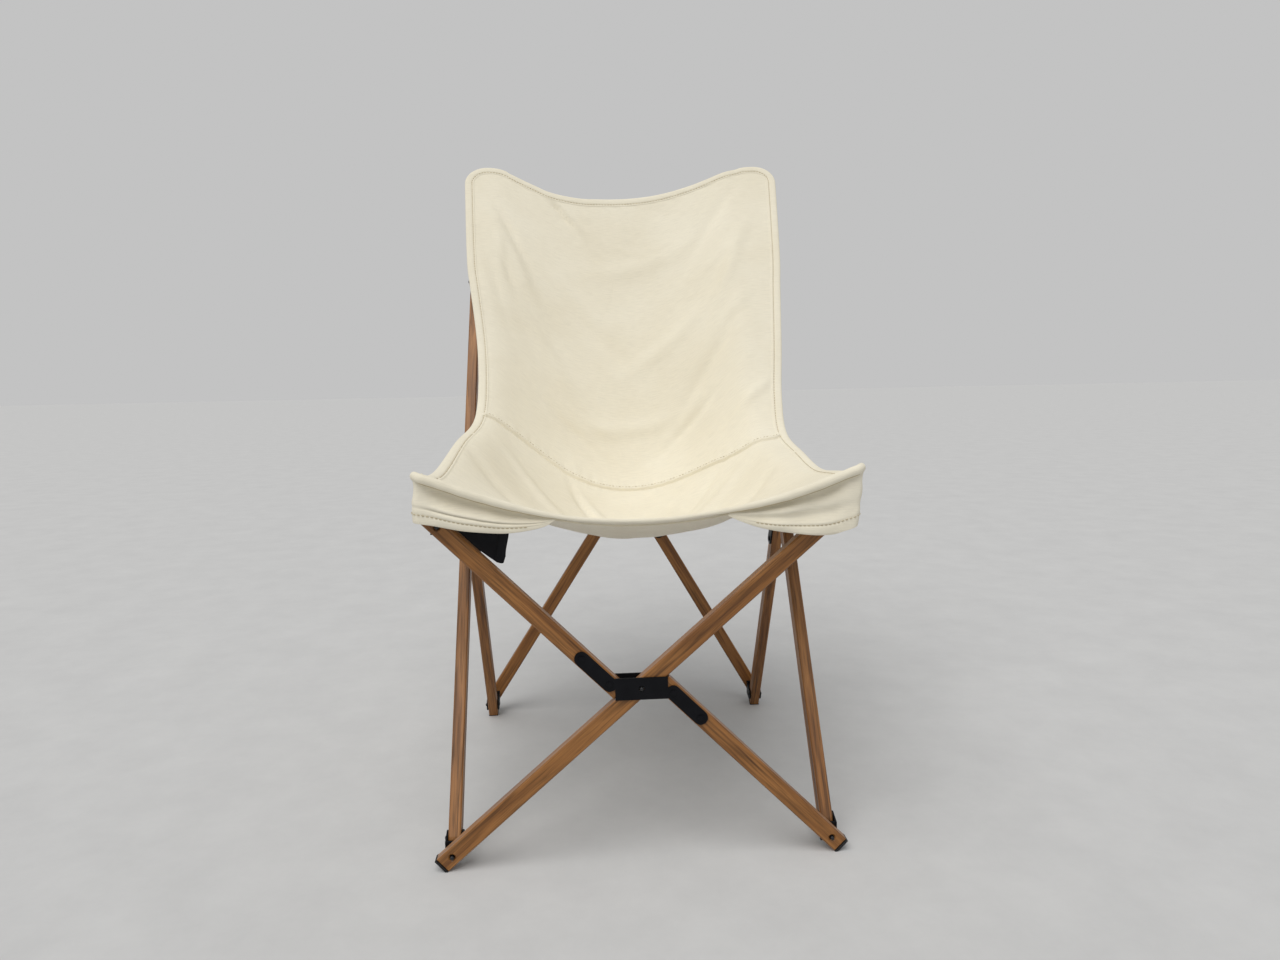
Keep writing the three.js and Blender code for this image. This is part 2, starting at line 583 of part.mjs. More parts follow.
// A point of the sling at a share across (-1 to 1) and a share along (0 front edge, 1 top edge)
function slingPoint(across, along) {
  const v = clamp(along, 0, 1);
  const middle = middleLine.getPointAt(v);
  const edge = sideLine.getPointAt(v);
  const overRod = ease(v, 0, SEAM_SHARE);
  const flatFrom = lerp(edge.x, Math.min(flatBackX, edge.x), overRod);
  const x = across * edge.x;
  const rise = Math.min(Math.abs(x) / flatFrom, 1) ** 2;
  const nearSide = ease(Math.abs(across), TOP_CORNER_ACROSS_SHARE, 1);
  const nearTop = ease(v, TOP_CORNER_ALONG_SHARE, 1);
  const y = lerp(middle.y, edge.y, rise);
  const z = lerp(middle.z, edge.z, rise) - TOP_CORNER_ROUND * (nearSide * nearTop) ** 2;
  return point(x, y, z);
}

// The share along the sling at which it reaches a distance back
function alongForY(across, y) {
  let low = 0;
  let high = 1;
  for (let i = 0; i < HALVINGS; i++) {
    const mid = (low + high) / 2;
    if (slingPoint(across, mid).y < y) low = mid;
    else high = mid;
  }
  return low;
}

// The sling is in two bodies, which part where it passes over the elbow pins
const partShare = alongForY(0, elbow.x);
const gapShare = CLOTH_GAP / middleLine.getLength();
const slingPart = (from, to) => (u, v) => slingPoint(2 * u - 1, lerp(from, to, v));
const seatPart = slingPart(0, partShare - gapShare);
const backPart = slingPart(partShare, 1);
addMesh('sling_seat', sheetGeometry(seatPart, SLING_STEPS_ACROSS, SEAT_STEPS, CLOTH), CANVAS);
addMesh('sling_back', sheetGeometry(backPart, SLING_STEPS_ACROSS, BACK_STEPS, CLOTH), CANVAS);

// Front pockets: a wall along the front edge, round the tip and back along the side edge
const layer = CLOTH_GAP + CLOTH;
const pocketInnerX = FRONT_HALF_WIDTH - POCKET_LENGTH;
const pocketFrontY = -FRONT_EDGE_AHEAD - layer;
const topPocketInnerX = FRONT_HALF_WIDTH - TOP_POCKET_WIDTH;
const topPocketDepth = ROD_WIDTH + TOP_CORNER_LIFT + BACK_EDGE_LIFT;

function pocketRim(share) {
  if (share <= POCKET_CORNER_SHARE) {
    const run = share / POCKET_CORNER_SHARE;
    const edge = slingPoint(lerp(pocketInnerX, frontTipHalf, run) / frontTipHalf, 0);
    return point(lerp(pocketInnerX, frontTipHalf + layer, run), pocketFrontY, edge.z);
  }
  const y = lerp(pocketFrontY, POCKET_BACK_Y, (share - POCKET_CORNER_SHARE) / (1 - POCKET_CORNER_SHARE));
  const edge = slingPoint(1, alongForY(1, y));
  return point(frontTipHalf + layer, y, edge.z);
}

function pocketHem(share) {
  const inner = lerp(POCKET_HEM_INNER_RISE, -POCKET_HEM_LOW_DROP, ease(share, 0, POCKET_HEM_LOW_SHARE));
  const outer = lerp(-POCKET_HEM_LOW_DROP, POCKET_HEM_OUTER_RISE, ease(share, POCKET_HEM_LOW_SHARE, 1));
  return FRONT_TOP_PIN_Z + (share < POCKET_HEM_LOW_SHARE ? inner : outer);
}

function frontPocket(side) {
  return (u, v) => {
    const share = clamp(side > 0 ? u : 1 - u, 0, 1);
    const rim = pocketRim(share);
    const z = lerp(pocketHem(share), rim.z, v);
    return point(side * rim.x, rim.y, z);
  };
}

// Top pockets: a pouch of cloth behind each top corner, open below, that takes the long rod's tip
function topPocket(side) {
  return (u, v) => {
    const along = lerp(TOP_POCKET_FROM_SHARE, 1 - gapShare, v);
    const edgeX = sideLine.getPointAt(clamp(along, 0, 1)).x;
    const x = lerp(topPocketInnerX, edgeX, side > 0 ? 1 - u : u);
    const across = (side * x) / edgeX;
    const du = slingPoint(across + SLOPE_STEP, along).sub(slingPoint(across - SLOPE_STEP, along));
    const dv = slingPoint(across, along + SLOPE_STEP).sub(slingPoint(across, along - SLOPE_STEP));
    const behind = dv.cross(du).normalize();
    const inner = ease(x, topPocketInnerX, FRONT_HALF_WIDTH - rodEnd - CLOTH);
    const outer = 1 - ease(x, FRONT_HALF_WIDTH + rodEnd + CLOTH, edgeX);
    const top = 1 - ease(along, TOP_POCKET_CLOSE_SHARE, 1 - gapShare);
    const depth = CLOTH + layer + topPocketDepth * inner * outer * top;
    return slingPoint(across, along).addScaledVector(behind, depth);
  };
}

for (const [side, label] of [[-1, 'left'], [1, 'right']]) {
  const frontWall = sheetGeometry(frontPocket(side), FRONT_POCKET_STEPS, WALL_STEPS, CLOTH);
  addMesh(`front_pocket_${label}`, frontWall, CANVAS);
  const topCup = sheetGeometry(topPocket(side), TOP_POCKET_STEPS_ACROSS, TOP_POCKET_STEPS, CLOTH);
  addMesh(`top_pocket_${label}`, topCup, CANVAS);
}

// Black pouch hanging under the seat, inside the left front corner
function pouch(u, v) {
  const x = FRONT_HALF_WIDTH - POUCH_INSET - POUCH_WIDTH * u;
  const across = -x / frontTipHalf;
  const seat = slingPoint(across, alongForY(across, POUCH_Y));
  const low = FRONT_TOP_PIN_Z - lerp(POUCH_HIGH_DROP, POUCH_LOW_DROP, u);
  return point(-x, POUCH_Y, lerp(low, seat.z - CLOTH - POUCH_GAP, v));
}

addMesh('black_pouch', sheetGeometry(pouch, POUCH_STEPS, WALL_STEPS, CLOTH), BLACK_CLOTH);

// The origin lies at the middle of the bounding box's underside
const box = new THREE.Box3().setFromObject(group, true);
const centre = box.getCenter(point(0, 0, 0));
group.position.set(-centre.x, -centre.y, -box.min.z);

export default group;
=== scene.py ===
"""Looks of the folding sling chair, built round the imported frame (metres, +Z up, +Y to the back)."""
import json
import math

import bpy
import numpy as np
from mathutils import Matrix, Vector


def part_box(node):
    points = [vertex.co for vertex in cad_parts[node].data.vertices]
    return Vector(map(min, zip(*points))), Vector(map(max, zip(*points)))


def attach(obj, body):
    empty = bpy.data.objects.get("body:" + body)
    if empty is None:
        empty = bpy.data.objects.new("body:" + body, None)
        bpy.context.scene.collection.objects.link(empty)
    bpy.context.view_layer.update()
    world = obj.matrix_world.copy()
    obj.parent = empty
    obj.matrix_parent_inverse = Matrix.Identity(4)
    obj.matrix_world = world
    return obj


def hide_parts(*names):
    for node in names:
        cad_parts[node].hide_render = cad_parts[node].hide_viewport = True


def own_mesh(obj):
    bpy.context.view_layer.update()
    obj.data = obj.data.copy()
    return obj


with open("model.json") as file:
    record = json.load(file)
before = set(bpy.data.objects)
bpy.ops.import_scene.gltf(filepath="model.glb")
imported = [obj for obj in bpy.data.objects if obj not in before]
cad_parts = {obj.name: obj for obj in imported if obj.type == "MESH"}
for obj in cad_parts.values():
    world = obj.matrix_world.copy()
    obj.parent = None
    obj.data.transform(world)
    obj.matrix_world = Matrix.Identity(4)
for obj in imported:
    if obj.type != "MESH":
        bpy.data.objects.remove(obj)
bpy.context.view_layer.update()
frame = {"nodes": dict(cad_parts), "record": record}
nodes = frame["nodes"]
slot_of = {part["node"]: part["material_slot"] for part in frame["record"]["subparts"]}

MM = 0.001
SIDE = 225.0  # from the middle to a long rod's middle, in millimetres
rod_low, rod_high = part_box("front_straight_rod")
FRONT_Y = (rod_low.y + rod_high.y) / 2

# Camera, at the photograph's viewing angle
PHOTO_WIDTH, FOCAL_PX = 1280, 882.7
SENSOR = 36.0
CAMERA_AT = (-0.0592, -0.9905, 0.5707)
YAW, PITCH, ROLL = -0.0630, 0.1168, -0.0193


# Materials
def material(name, **sockets):
    """A new material with its tree and shader; the sockets set the shader's values."""
    made = bpy.data.materials.new(name)
    made.use_nodes = True
    tree = made.node_tree
    shader = tree.nodes["Principled BSDF"]
    for socket, value in sockets.items():
        shader.inputs[socket.replace("_", " ")].default_value = value
    return made, tree, shader


def node(tree, kind, links=(), **values):
    """A new node; a value sets the node's property of that name, or else its input."""
    made = tree.nodes.new("ShaderNode" + kind)
    for key, value in values.items():
        if hasattr(made, key):
            setattr(made, key, value)
        else:
            made.inputs[key.replace("_", " ")].default_value = value
    for source, socket in links:
        tree.links.new(source, made.inputs[socket])
    return made


def ramp(tree, source, stops):
    made = tree.nodes.new("ShaderNodeValToRGB")
    tree.links.new(source, made.inputs[0])
    elements = made.color_ramp.elements
    while len(elements) < len(stops):
        elements.new(0.5)
    for element, (place, colour) in zip(elements, stops):
        element.position = place
        element.color = (*colour, 1) if len(colour) == 3 else (colour[0],) * 3 + (1,)
    return made.outputs["Color"]


def mix(tree, factor, a, b, blend="MIX"):
    made = tree.nodes.new("ShaderNodeMix")
    made.data_type = "RGBA"
    made.blend_type = blend
    for socket, value in ((made.inputs[0], factor), (made.inputs[6], a), (made.inputs[7], b)):
        if isinstance(value, (int, float)):
            socket.default_value = value
        elif isinstance(value, tuple):
            socket.default_value = (*value, 1)
        else:
            tree.links.new(value, socket)
    return made.outputs[2]


def bump(tree, shader, height, distance, strength=1.0, after=None):
    made = node(tree, "Bump", [(height, "Height")], Strength=strength, Distance=distance)
    if after is not None:
        tree.links.new(after.outputs[0], made.inputs["Normal"])
    tree.links.new(made.outputs[0], shader.inputs["Normal"])
    return made


# Colours of the wood's bands, and of the painted light on the rods' upper sides with the share that is
# mixed in there
WOOD_BANDS = [
    (0.3, (0.12, 0.046, 0.014)), (0.45, (0.25, 0.103, 0.027)),
    (0.62, (0.36, 0.158, 0.044)), (0.76, (0.19, 0.076, 0.022)),
]
PAINTED_LIGHT_COLOUR = (0.4, 0.245, 0.16)
PAINTED_LIGHT_SHARE = 0.4
OFF_AXIS = Vector((0.31, 0.83, 0.47))  # no rod lies along it


def wood(name, axis, seed):
    """Oiled walnut whose grain runs along a rod's own axis, with painted light that makes upper sides
    paler.
    """
    made, tree, shader = material(name, Coat_Weight=0.06, Coat_Roughness=0.35, Specular_IOR_Level=0.35)
    along = Vector(axis).normalized()
    side = along.cross(OFF_AXIS).normalized()
    turn = Matrix((along, side, along.cross(side))).to_euler()
    coords = node(tree, "TexCoord").outputs["Object"]
    start = (seed, seed * 0.7, seed * 0.3)
    turned = node(tree, "Mapping", [(coords, "Vector")], Rotation=turn, Location=start)

    def grain(stretch, detail, warp=0.0):
        scaled = node(tree, "Mapping", [(turned.outputs[0], "Vector")], Scale=stretch)
        links = [(scaled.outputs[0], "Vector")]
        return node(tree, "TexNoise", links, Scale=1.0, Detail=detail, Distortion=warp).outputs[0]

    bands = grain((5, 75, 75), 4.0, 0.5)
    figure = grain((9, 210, 210), 5.0, 1.2)
    pores = grain((26, 900, 900), 2.0)
    base = ramp(tree, bands, WOOD_BANDS)
    streaks = ramp(tree, figure, [(0.34, (0.4,)), (0.54, (1.0,))])
    colour = mix(tree, 0.75, base, streaks, "MULTIPLY")
    dots = ramp(tree, pores, [(0.34, (0.45,)), (0.46, (1.0,))])
    colour = mix(tree, 0.6, colour, dots, "MULTIPLY")
    # Painted light: faces that point up get a paler colour mixed in, as if lit from above.
    normal = node(tree, "NewGeometry").outputs["Normal"]
    facing = node(tree, "SeparateXYZ", [(normal, 0)]).outputs["Z"]
    lit_from_above_mask = ramp(tree, facing, [(0.58, (0.0,)), (0.74, (1.0,))])
    upper = node(tree, "Math", [(lit_from_above_mask, 0)], operation="MULTIPLY")
    upper.inputs[1].default_value = PAINTED_LIGHT_SHARE
    colour = mix(tree, upper.outputs[0], colour, PAINTED_LIGHT_COLOUR)
    tree.links.new(colour, shader.inputs["Base Color"])
    tree.links.new(ramp(tree, figure, [(0.3, (0.5,)), (0.7, (0.34,))]), shader.inputs["Roughness"])
    bump(tree, shader, pores, 0.0004, 0.35)
    return made


def black_metal(name, shine):
    """Black powder coat with a fine orange-peel."""
    made, tree, shader = material(name, Metallic=0.0, Specular_IOR_Level=shine)
    coords = node(tree, "TexCoord").outputs["Object"]
    fine = node(tree, "TexNoise", [(coords, "Vector")], Scale=1400.0, Detail=2.0).outputs[0]
    broad = node(tree, "TexNoise", [(coords, "Vector")], Scale=45.0, Detail=4.0).outputs[0]
    colour = ramp(tree, broad, [(0.3, (0.003, 0.0032, 0.0045)), (0.7, (0.006, 0.0062, 0.008))])
    tree.links.new(colour, shader.inputs["Base Color"])
    tree.links.new(ramp(tree, broad, [(0.3, (0.52,)), (0.7, (0.36,))]), shader.inputs["Roughness"])
    bump(tree, shader, fine, 0.00025, 0.4)
    return made


def rubber():
    """Scuffed black rubber of the caps."""
    made, tree, shader = material("black_rubber", Specular_IOR_Level=0.3)
    coords = node(tree, "TexCoord").outputs["Object"]
    scuffs = node(tree, "TexNoise", [(coords, "Vector")], Scale=160.0, Detail=6.0, Roughness=0.7)
    scuffs = scuffs.outputs[0]
    colour = ramp(tree, scuffs, [(0.35, (0.008, 0.008, 0.009)), (0.72, (0.03, 0.03, 0.031))])
    tree.links.new(colour, shader.inputs["Base Color"])
    tree.links.new(ramp(tree, scuffs, [(0.3, (0.7,)), (0.7, (0.92,))]), shader.inputs["Roughness"])
    bump(tree, shader, scuffs, 0.0004, 0.5)
    return made


def cloth(name, pale, deep, pitch, sheen):
    """A plain weave that follows the cloth's own UV lengths, in metres."""
    made, tree, shader = material(
        name, Roughness=0.88, Sheen_Weight=sheen, Sheen_Roughness=0.5, Specular_IOR_Level=0.18,
    )
    uv = node(tree, "TexCoord").outputs["UV"]
    warp = node(tree, "TexNoise", [(uv, "Vector")], Scale=55.0, Detail=3.0)
    bent = node(tree, "VectorMath", [(warp.outputs["Color"], 0)], operation="SCALE", Scale=pitch * 0.5)
    place = node(tree, "VectorMath", [(uv, 0), (bent.outputs[0], 1)], operation="ADD").outputs[0]

    def threads(direction):
        bands = {"wave_type": "BANDS", "bands_direction": direction}
        scale = 2 * math.pi / (20 * pitch)
        wave = node(tree, "TexWave", [(place, "Vector")], **bands, Scale=scale, Distortion=0.0)
        return wave.outputs[0]

    weave = node(tree, "Math", [(threads("X"), 0), (threads("Y"), 1)], operation="MULTIPLY").outputs[0]
    slubs_at = node(tree, "Mapping", [(uv, "Vector")], Scale=(60, 900, 1))
    slubs = node(tree, "TexNoise", [(slubs_at.outputs[0], "Vector")], Scale=1.0, Detail=3.0).outputs[0]
    stain = node(tree, "TexNoise", [(uv, "Vector")], Scale=7.0, Detail=5.0, Roughness=0.55).outputs[0]
    colour = ramp(tree, stain, [(0.3, deep), (0.62, pale)])
    thick_threads = ramp(tree, slubs, [(0.3, (0.55,)), (0.6, (1.0,))])
    colour = mix(tree, 0.16, colour, thick_threads, "MULTIPLY")
    # Painted shade: the weave's low places between the threads are darkened a little.
    between = ramp(tree, weave, [(0.0, (0.5,)), (0.45, (1.0,))])
    colour = mix(tree, 0.12, colour, between, "MULTIPLY")
    tree.links.new(colour, shader.inputs["Base Color"])
    first = bump(tree, shader, weave, 0.00035, 0.45)
    creases = node(tree, "TexNoise", [(uv, "Vector")], Scale=38.0, Detail=5.0, Distortion=0.8)
    bump(tree, shader, creases.outputs[0], 0.004, 0.22, first)
    return made


METAL = black_metal("black_powder_coat", 0.12)
RIVET = black_metal("black_rivet", 0.55)
RUBBER = rubber()
# Cloths: pale and deep colour, thread pitch in metres and sheen
CANVAS = cloth("cream_canvas", (0.9, 0.842, 0.69), (0.85, 0.785, 0.625), 0.0011, 0.1)
THREAD = cloth("cream_thread", (0.62, 0.53, 0.35), (0.52, 0.43, 0.27), 0.0006, 0.05)
BLACK = cloth("black_cloth", (0.017, 0.018, 0.022), (0.009, 0.0095, 0.012), 0.0008, 0.1)


# The frame's own nodes: wood along each rod, metal and rubber
for count, (name, made) in enumerate(sorted(nodes.items())):
    slot = slot_of[name]
    if slot == "wood":
        corners = np.array([v.co for v in made.data.vertices])
        spread = corners - corners.mean(0)
        axis = np.linalg.svd(spread, full_matrices=False)[2][0]
        finish = wood("walnut_" + name, axis, 1.7 * count)
    else:
        finish = {"black_steel": METAL, "rubber": RUBBER}.get(slot, CANVAS)
    made.data.materials.clear()
    made.data.materials.append(finish)


# Rivets and pins: round heads turned on the solids' own lengths
RIVET_SIDES = 28
DOME = 0.8  # share of a head's height that is domed
TINY = 2e-5


def rivet(name):
    """Turns a pin's heads and shank on its own axis, and lets it stand for the solid."""
    low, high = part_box(name)
    size, centre = high - low, (high + low) / 2
    axis = 0 if abs(size.x - size.z) > abs(size.y - size.z) else 1
    world = nodes[name].matrix_world
    spots = np.array([world @ v.co for v in nodes[name].data.vertices])
    along = spots[:, axis]
    out = np.hypot(spots[:, 1 - axis] - centre[1 - axis], spots[:, 2] - centre.z)
    levels = np.unique(np.round(along, 5))
    reach = {level: out[np.abs(along - level) < TINY].max() for level in levels}
    shank = min(out[out > 1e-4].min(), min(reach.values()))
    arc = np.linspace(0, math.pi / 2, 9)
    first, last = levels[0], levels[-1]
    head = reach[first], levels[1] - first
    tail = reach[last], last - levels[-2]
    start = [(first + head[1] * (1 - math.sin(t)) * DOME, head[0] * math.cos(t)) for t in arc[::-1]]
    end = [(last - tail[1] * (1 - math.sin(t)) * DOME, tail[0] * math.cos(t)) for t in arc]
    under_head, under_tail = first + head[1], last - tail[1]
    inner = [(under_head, head[0]), (under_head, shank), (under_tail, shank), (under_tail, tail[0])]
    profile = np.array(start + inner + end)
    turns = np.linspace(0, 2 * math.pi, RIVET_SIDES, endpoint=False)
    verts = np.zeros((len(profile), len(turns), 3))
    verts[..., axis] = profile[:, 0][:, None]
    radius = np.maximum(profile[:, 1], TINY)[:, None]
    verts[..., 1 - axis] = centre[1 - axis] + radius * np.cos(turns)[None]
    verts[..., 2] = centre.z + radius * np.sin(turns)[None]
    index = np.arange(len(profile) * len(turns)).reshape(len(profile), len(turns))
    after = np.roll(index, -1, axis=1)
    quads = np.stack([index[:-1], after[:-1], after[1:], index[1:]], -1).reshape(-1, 4)
    caps = [index[0, ::-1].tolist(), index[-1].tolist()]
    if axis == 1:
        quads, caps = quads[:, ::-1], [cap[::-1] for cap in caps]
    made = new_object(name + "_rivet", verts.reshape(-1, 3), quads.tolist() + caps, RIVET)
    for edge in made.data.edges:
        a, b = (v // len(turns) for v in edge.vertices)
        edge.use_edge_sharp = a == b and len(start) - 1 <= a <= len(start) + len(inner)
    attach(made, body_of[name])
    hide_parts(name)


# Sling, in millimetres from the front scissor's plane
def smooth(x, low, high):
    t = np.clip((np.asarray(x, float) - low) / (high - low), 0, 1)
    return t * t * (3 - 2 * t)


def lerp(a, b, t):
    return a + (b - a) * t


class Line:
    """A smooth line through points, read by its share of length."""

    def __init__(self, points, steps=500):
        p = np.array(points, float)
        p = np.vstack([2 * p[0] - p[1], p, 2 * p[-1] - p[-2]])
        rows = []
        for i in range(len(p) - 3):
            p0, p1, p2, p3 = p[i:i + 4]
            pairs = (p0, p1), (p1, p2), (p2, p3)
            d0, d1, d2 = (np.linalg.norm(b - a) ** 0.5 for a, b in pairs)
            m1 = ((p1 - p0) / d0 - (p2 - p0) / (d0 + d1) + (p2 - p1) / d1) * d1
            m2 = ((p2 - p1) / d1 - (p3 - p1) / (d1 + d2) + (p3 - p2) / d2) * d1
            t = np.linspace(0, 1, steps, endpoint=i == len(p) - 4)[:, None]
            square, cube = 3 * (p2 - p1) - 2 * m1 - m2, 2 * (p1 - p2) + m1 + m2
            rows.append(p1 + m1 * t + square * t**2 + cube * t**3)
        self.points = np.vstack(rows)
        run = np.concatenate([[0], np.cumsum(np.linalg.norm(np.diff(self.points, axis=0), axis=1))])
        self.length = run[-1]
        self.share = run / run[-1]

    def at(self, share):
        columns = [np.interp(share, self.share, self.points[:, k]) for k in range(3)]
        return np.stack(columns, axis=-1)

    def share_at(self, axis, value):
        return float(np.interp(value, self.points[:, axis], self.share))


FRONT_EDGE_Y = -22.0
CLOTH = 1.7  # thickness
SEAM_AT = 0.4  # share along at which the seam crosses the middle
FLAT_X = 189.6  # from here outward the cloth lies flat on the long rods
CORNER = 40.0  # radius of the top corners
STRIP_START, STRIP_END = 0.03, 0.078  # the seat starts under the front strip, which ends over it
STRIP_THICK = 0.8

# The sling hangs a little to the right and lower on that side, as photographed
MIDDLE = Line([(0, FRONT_EDGE_Y, 411), (1, 170, 360), (9, 335, 410), (13, 442, 605), (15, 575, 876)])
LEFT = Line([
    (-246, FRONT_EDGE_Y, 470), (-239, 60, 464), (-228, 180, 489), (-214, 300, 520), (-217, 384, 612),
    (-232, 444, 718), (-237, 464, 748), (-250, 584, 927),
])
RIGHT = Line([
    (254, FRONT_EDGE_Y, 466), (253, 60, 453), (251, 140, 446), (246, 215, 461), (238, 285, 485),
    (243, 338, 536), (253, 384, 612), (265, 446, 718), (269, 464, 748), (286, 584, 926),
])
# How far the top edge lies under a plain one, at shares across, and the cloth's direction there
TOP_TRIM = Line([
    (-1.1, -4, 0), (-0.87, -4, 0), (-0.71, -1, 0), (-0.55, 4, 0), (-0.42, 8, 0), (-0.28, 7, 0),
    (-0.1, 3, 0), (0.12, 1, 0), (0.34, 2, 0), (0.5, 4.5, 0), (0.61, 6.5, 0), (0.73, 2, 0),
    (0.85, -4.5, 0), (0.95, -5, 0), (1.1, -4, 0),
]).points
TOP_WAY = np.array([0, 0.46, 0.89])
RUN = MIDDLE.length
PART_AT = MIDDLE.share_at(1, 249)  # the elbow line, where seat and back part
SEAM_LEFT = LEFT.share_at(2, 519)
SEAM_RIGHT = RIGHT.share_at(1, 285)


def seam_share(across):
    """Share along of the seam at a share across."""
    end = np.where(across < 0, SEAM_LEFT, SEAM_RIGHT)
    sag = 0.012 * np.exp(-((across + 0.65) / 0.22) ** 2)
    sag = sag - 0.03 * np.exp(-((across - 0.8) / 0.22) ** 2)
    return lerp(SEAM_AT, end, across**2) + sag + 0.01 * smooth(across, 0.9, 1.0)


def bent_share(across, share):
    """Rows of the cloth bend with the stitched seam near it."""
    return share + (seam_share(across) - SEAM_AT) * np.exp(-((share - SEAM_AT) / 0.12) ** 2)


def edges(across, v):
    return np.where((across < 0)[..., None], LEFT.at(v), RIGHT.at(v))


def half_width(across, v):
    return np.abs(edges(across, v)[..., 0] - MIDDLE.at(v)[..., 0])


BEND = 13.0  # how sharply the cloth bends from its sag to flat


def sling(across, v):
    """Points of the bare sling at a share across (-1 to 1) and a share along."""
    across, v = np.broadcast_arrays(np.asarray(across, float), np.asarray(v, float))
    middle, edge = MIDDLE.at(v), edges(across, v)
    held = np.where(across < 0, -FLAT_X, FLAT_X)
    on_rod = np.minimum((held - middle[..., 0]) / (edge[..., 0] - middle[..., 0]), 1)
    flat_from = lerp(1.0, on_rod, smooth(v, 0, SEAM_AT))
    rise = 1 - np.log1p(np.exp(BEND * (1 - (across / flat_from) ** 2))) / BEND
    share = np.stack([np.abs(across), rise, rise], -1)
    drop = np.interp(across, TOP_TRIM[:, 0], TOP_TRIM[:, 1]) * smooth(v, 0.84, 1)
    return lerp(middle, edge, share) - drop[..., None] * TOP_WAY


def sling_normal(across, v):
    across, v = np.broadcast_arrays(np.asarray(across, float), np.asarray(v, float))
    step = 2e-3
    du = sling(across + step, v) - sling(across - step, v)
    dv = sling(across, np.clip(v + step, 0, 1)) - sling(across, np.clip(v - step, 0, 1))
    n = np.cross(du, dv)
    return n / np.linalg.norm(n, axis=-1, keepdims=True)


def rounded(side, top):
    """Rounds the top corners: new distances from the side and top, and that from the border."""
    a, b = np.clip(CORNER - side, 0, None), np.clip(CORNER - top, 0, None)
    m = np.maximum(a, b)
    safe = np.where(m > 0, m, 1)
    angle = np.where(a >= b, b / safe, 2 - a / safe) * math.pi / 4
    both = (a > 0) & (b > 0)
    new_side = np.where(both, CORNER - m * np.cos(angle), side)
    new_top = np.where(both, CORNER - m * np.sin(angle), top)
    border = np.where(both, CORNER - m, np.minimum(side, top))
    return new_side, new_top, border


# Folds: place across and along in millimetres, lean in degrees, half length, half width and height
FOLDS = [
    (-100, 862, -52, 40, 5, -6.0), (-86, 850, -52, 36, 6, 4.0), (-190, 780, -62, 60, 9, -3.0),
    (-170, 700, -66, 70, 11, 2.6), (-205, 640, -75, 60, 9, -2.4), (-120, 560, -52, 80, 12, 2.4),
    (-60, 640, -40, 90, 16, -2.2), (60, 600, 30, 90, 16, 2.0), (120, 520, 48, 80, 13, -2.4),
    (175, 690, 70, 80, 12, 2.4), (150, 800, 55, 60, 13, -2.2), (20, 760, 12, 80, 18, 2.0),
    (0, 470, 4, 70, 13, 2.2), (-95, 455, -35, 50, 8, -2.6), (95, 450, 32, 50, 8, -2.6),
    (-70, 300, -68, 48, 6, -3.8), (-52, 285, -58, 44, 7, 2.8), (-120, 240, -48, 70, 11, 3.0),
    (85, 270, 52, 70, 8, -3.2), (112, 240, 48, 80, 11, 3.0), (150, 190, 42, 70, 10, -2.8),
    (40, 230, 60, 60, 11, 2.2), (-165, 170, -40, 70, 13, -2.6), (0, 150, 5, 60, 18, 1.8),
    (-200, 720, -80, 40, 6, 2.4), (-192, 690, -70, 40, 6, -2.4), (190, 420, 40, 50, 8, 2.4),
]


FOLD_GAIN = 1.6
SMALL_FOLDS, SEED = 60, 7


def fold(x, run, px, pr, lean, length, width, amount):
    c, s = math.cos(math.radians(lean)), math.sin(math.radians(lean))
    along, across = (x - px) * c + (run - pr) * s, -(x - px) * s + (run - pr) * c
    return amount * np.exp(-(along / length) ** 2 - (across / width) ** 2)


def wrinkles(x, run):
    """Height of the drawn folds and of small random ones, at places in millimetres."""
    height = FOLD_GAIN * sum(fold(x, run, *values) for values in FOLDS)
    rng = np.random.default_rng(SEED)
    for _ in range(SMALL_FOLDS):
        px, pr = rng.uniform(-230, 230), rng.uniform(40, 880)
        lean = rng.normal(0, 30) + 55 * px / 230
        size = rng.uniform(22, 70), rng.uniform(4, 11), rng.uniform(-1.1, 1.1)
        height += fold(x, run, px, pr, lean, *size)
    return height


# Binding round the border: its height over the cloth at a distance from the border
BIND_AT = [0, 0.5, 1.4, 3, 6, 9, 10.6, 11.3, 12, 12.7, 13.6, 14.8, 15.4, 16.2, 40]
BIND_HIGH = [-0.35, 0.45, 1.1, 1.5, 1.7, 1.4, 1.1, 0.5, 0.25, 0.6, 1.0, 0.85, 0.15, 0, 0]
BORDER = [0, 0.5, 1.4, 3, 5, 7.5, 9, 10.6, 11.3, 12, 12.7, 13.6, 14.8, 15.4, 16.2, 18.5, 22, 27, 33, 40]
STITCH_LINE, STITCH_LIFT = 12.0, 0.4  # the stitches' distance from the border and over the cloth
# Seam: its height over the cloth at a distance along from its middle
SEAM_GAP = [-6, -3, -1.4, -0.5, 0.5, 1.6, 3, 4.4, 5.3, 6, 6.8, 8.5, 11]
SEAM_HIGH = [0, -0.5, -1.6, -1.2, 1.5, 2.7, 2.9, 2.4, 1.7, 1.1, 1.4, 0.9, 0]
SEAM_STITCH = 6.0
INSIDE = 13, 28  # folds fade out between these distances from the border
ROW_PITCH, COLUMNS = 4.5, 90
STRIP_STEP = (-1.5, -0.5, 0.5, 1.5, 3.0)  # extra rows where the seat comes out from under the strip


def seam_height(gap):
    return np.interp(gap, SEAM_GAP, SEAM_HIGH)


def steps(low, high, pitch):
    return list(np.linspace(low, high, max(2, int(round((high - low) / pitch)) + 1)))


def relief(x, run, border, gap):
    """Height of the binding, the seam, the folds and their puckers over the bare sling."""
    pucker = 0.7 * np.exp(-((gap - 10) / 12) ** 2) * np.sin(x / 2.1 + 1.5 * np.sin(x / 17))
    inside = smooth(border, *INSIDE)
    edge_pucker = 0.3 * np.exp(-((border - 17) / 9) ** 2) * np.sin(run / 2.6 + x / 5)
    bind = np.interp(border, BIND_AT, BIND_HIGH)
    seam = seam_height(gap) * smooth(border, 9, 15)
    return bind + seam + inside * (wrinkles(x, run) + pucker) + edge_pucker


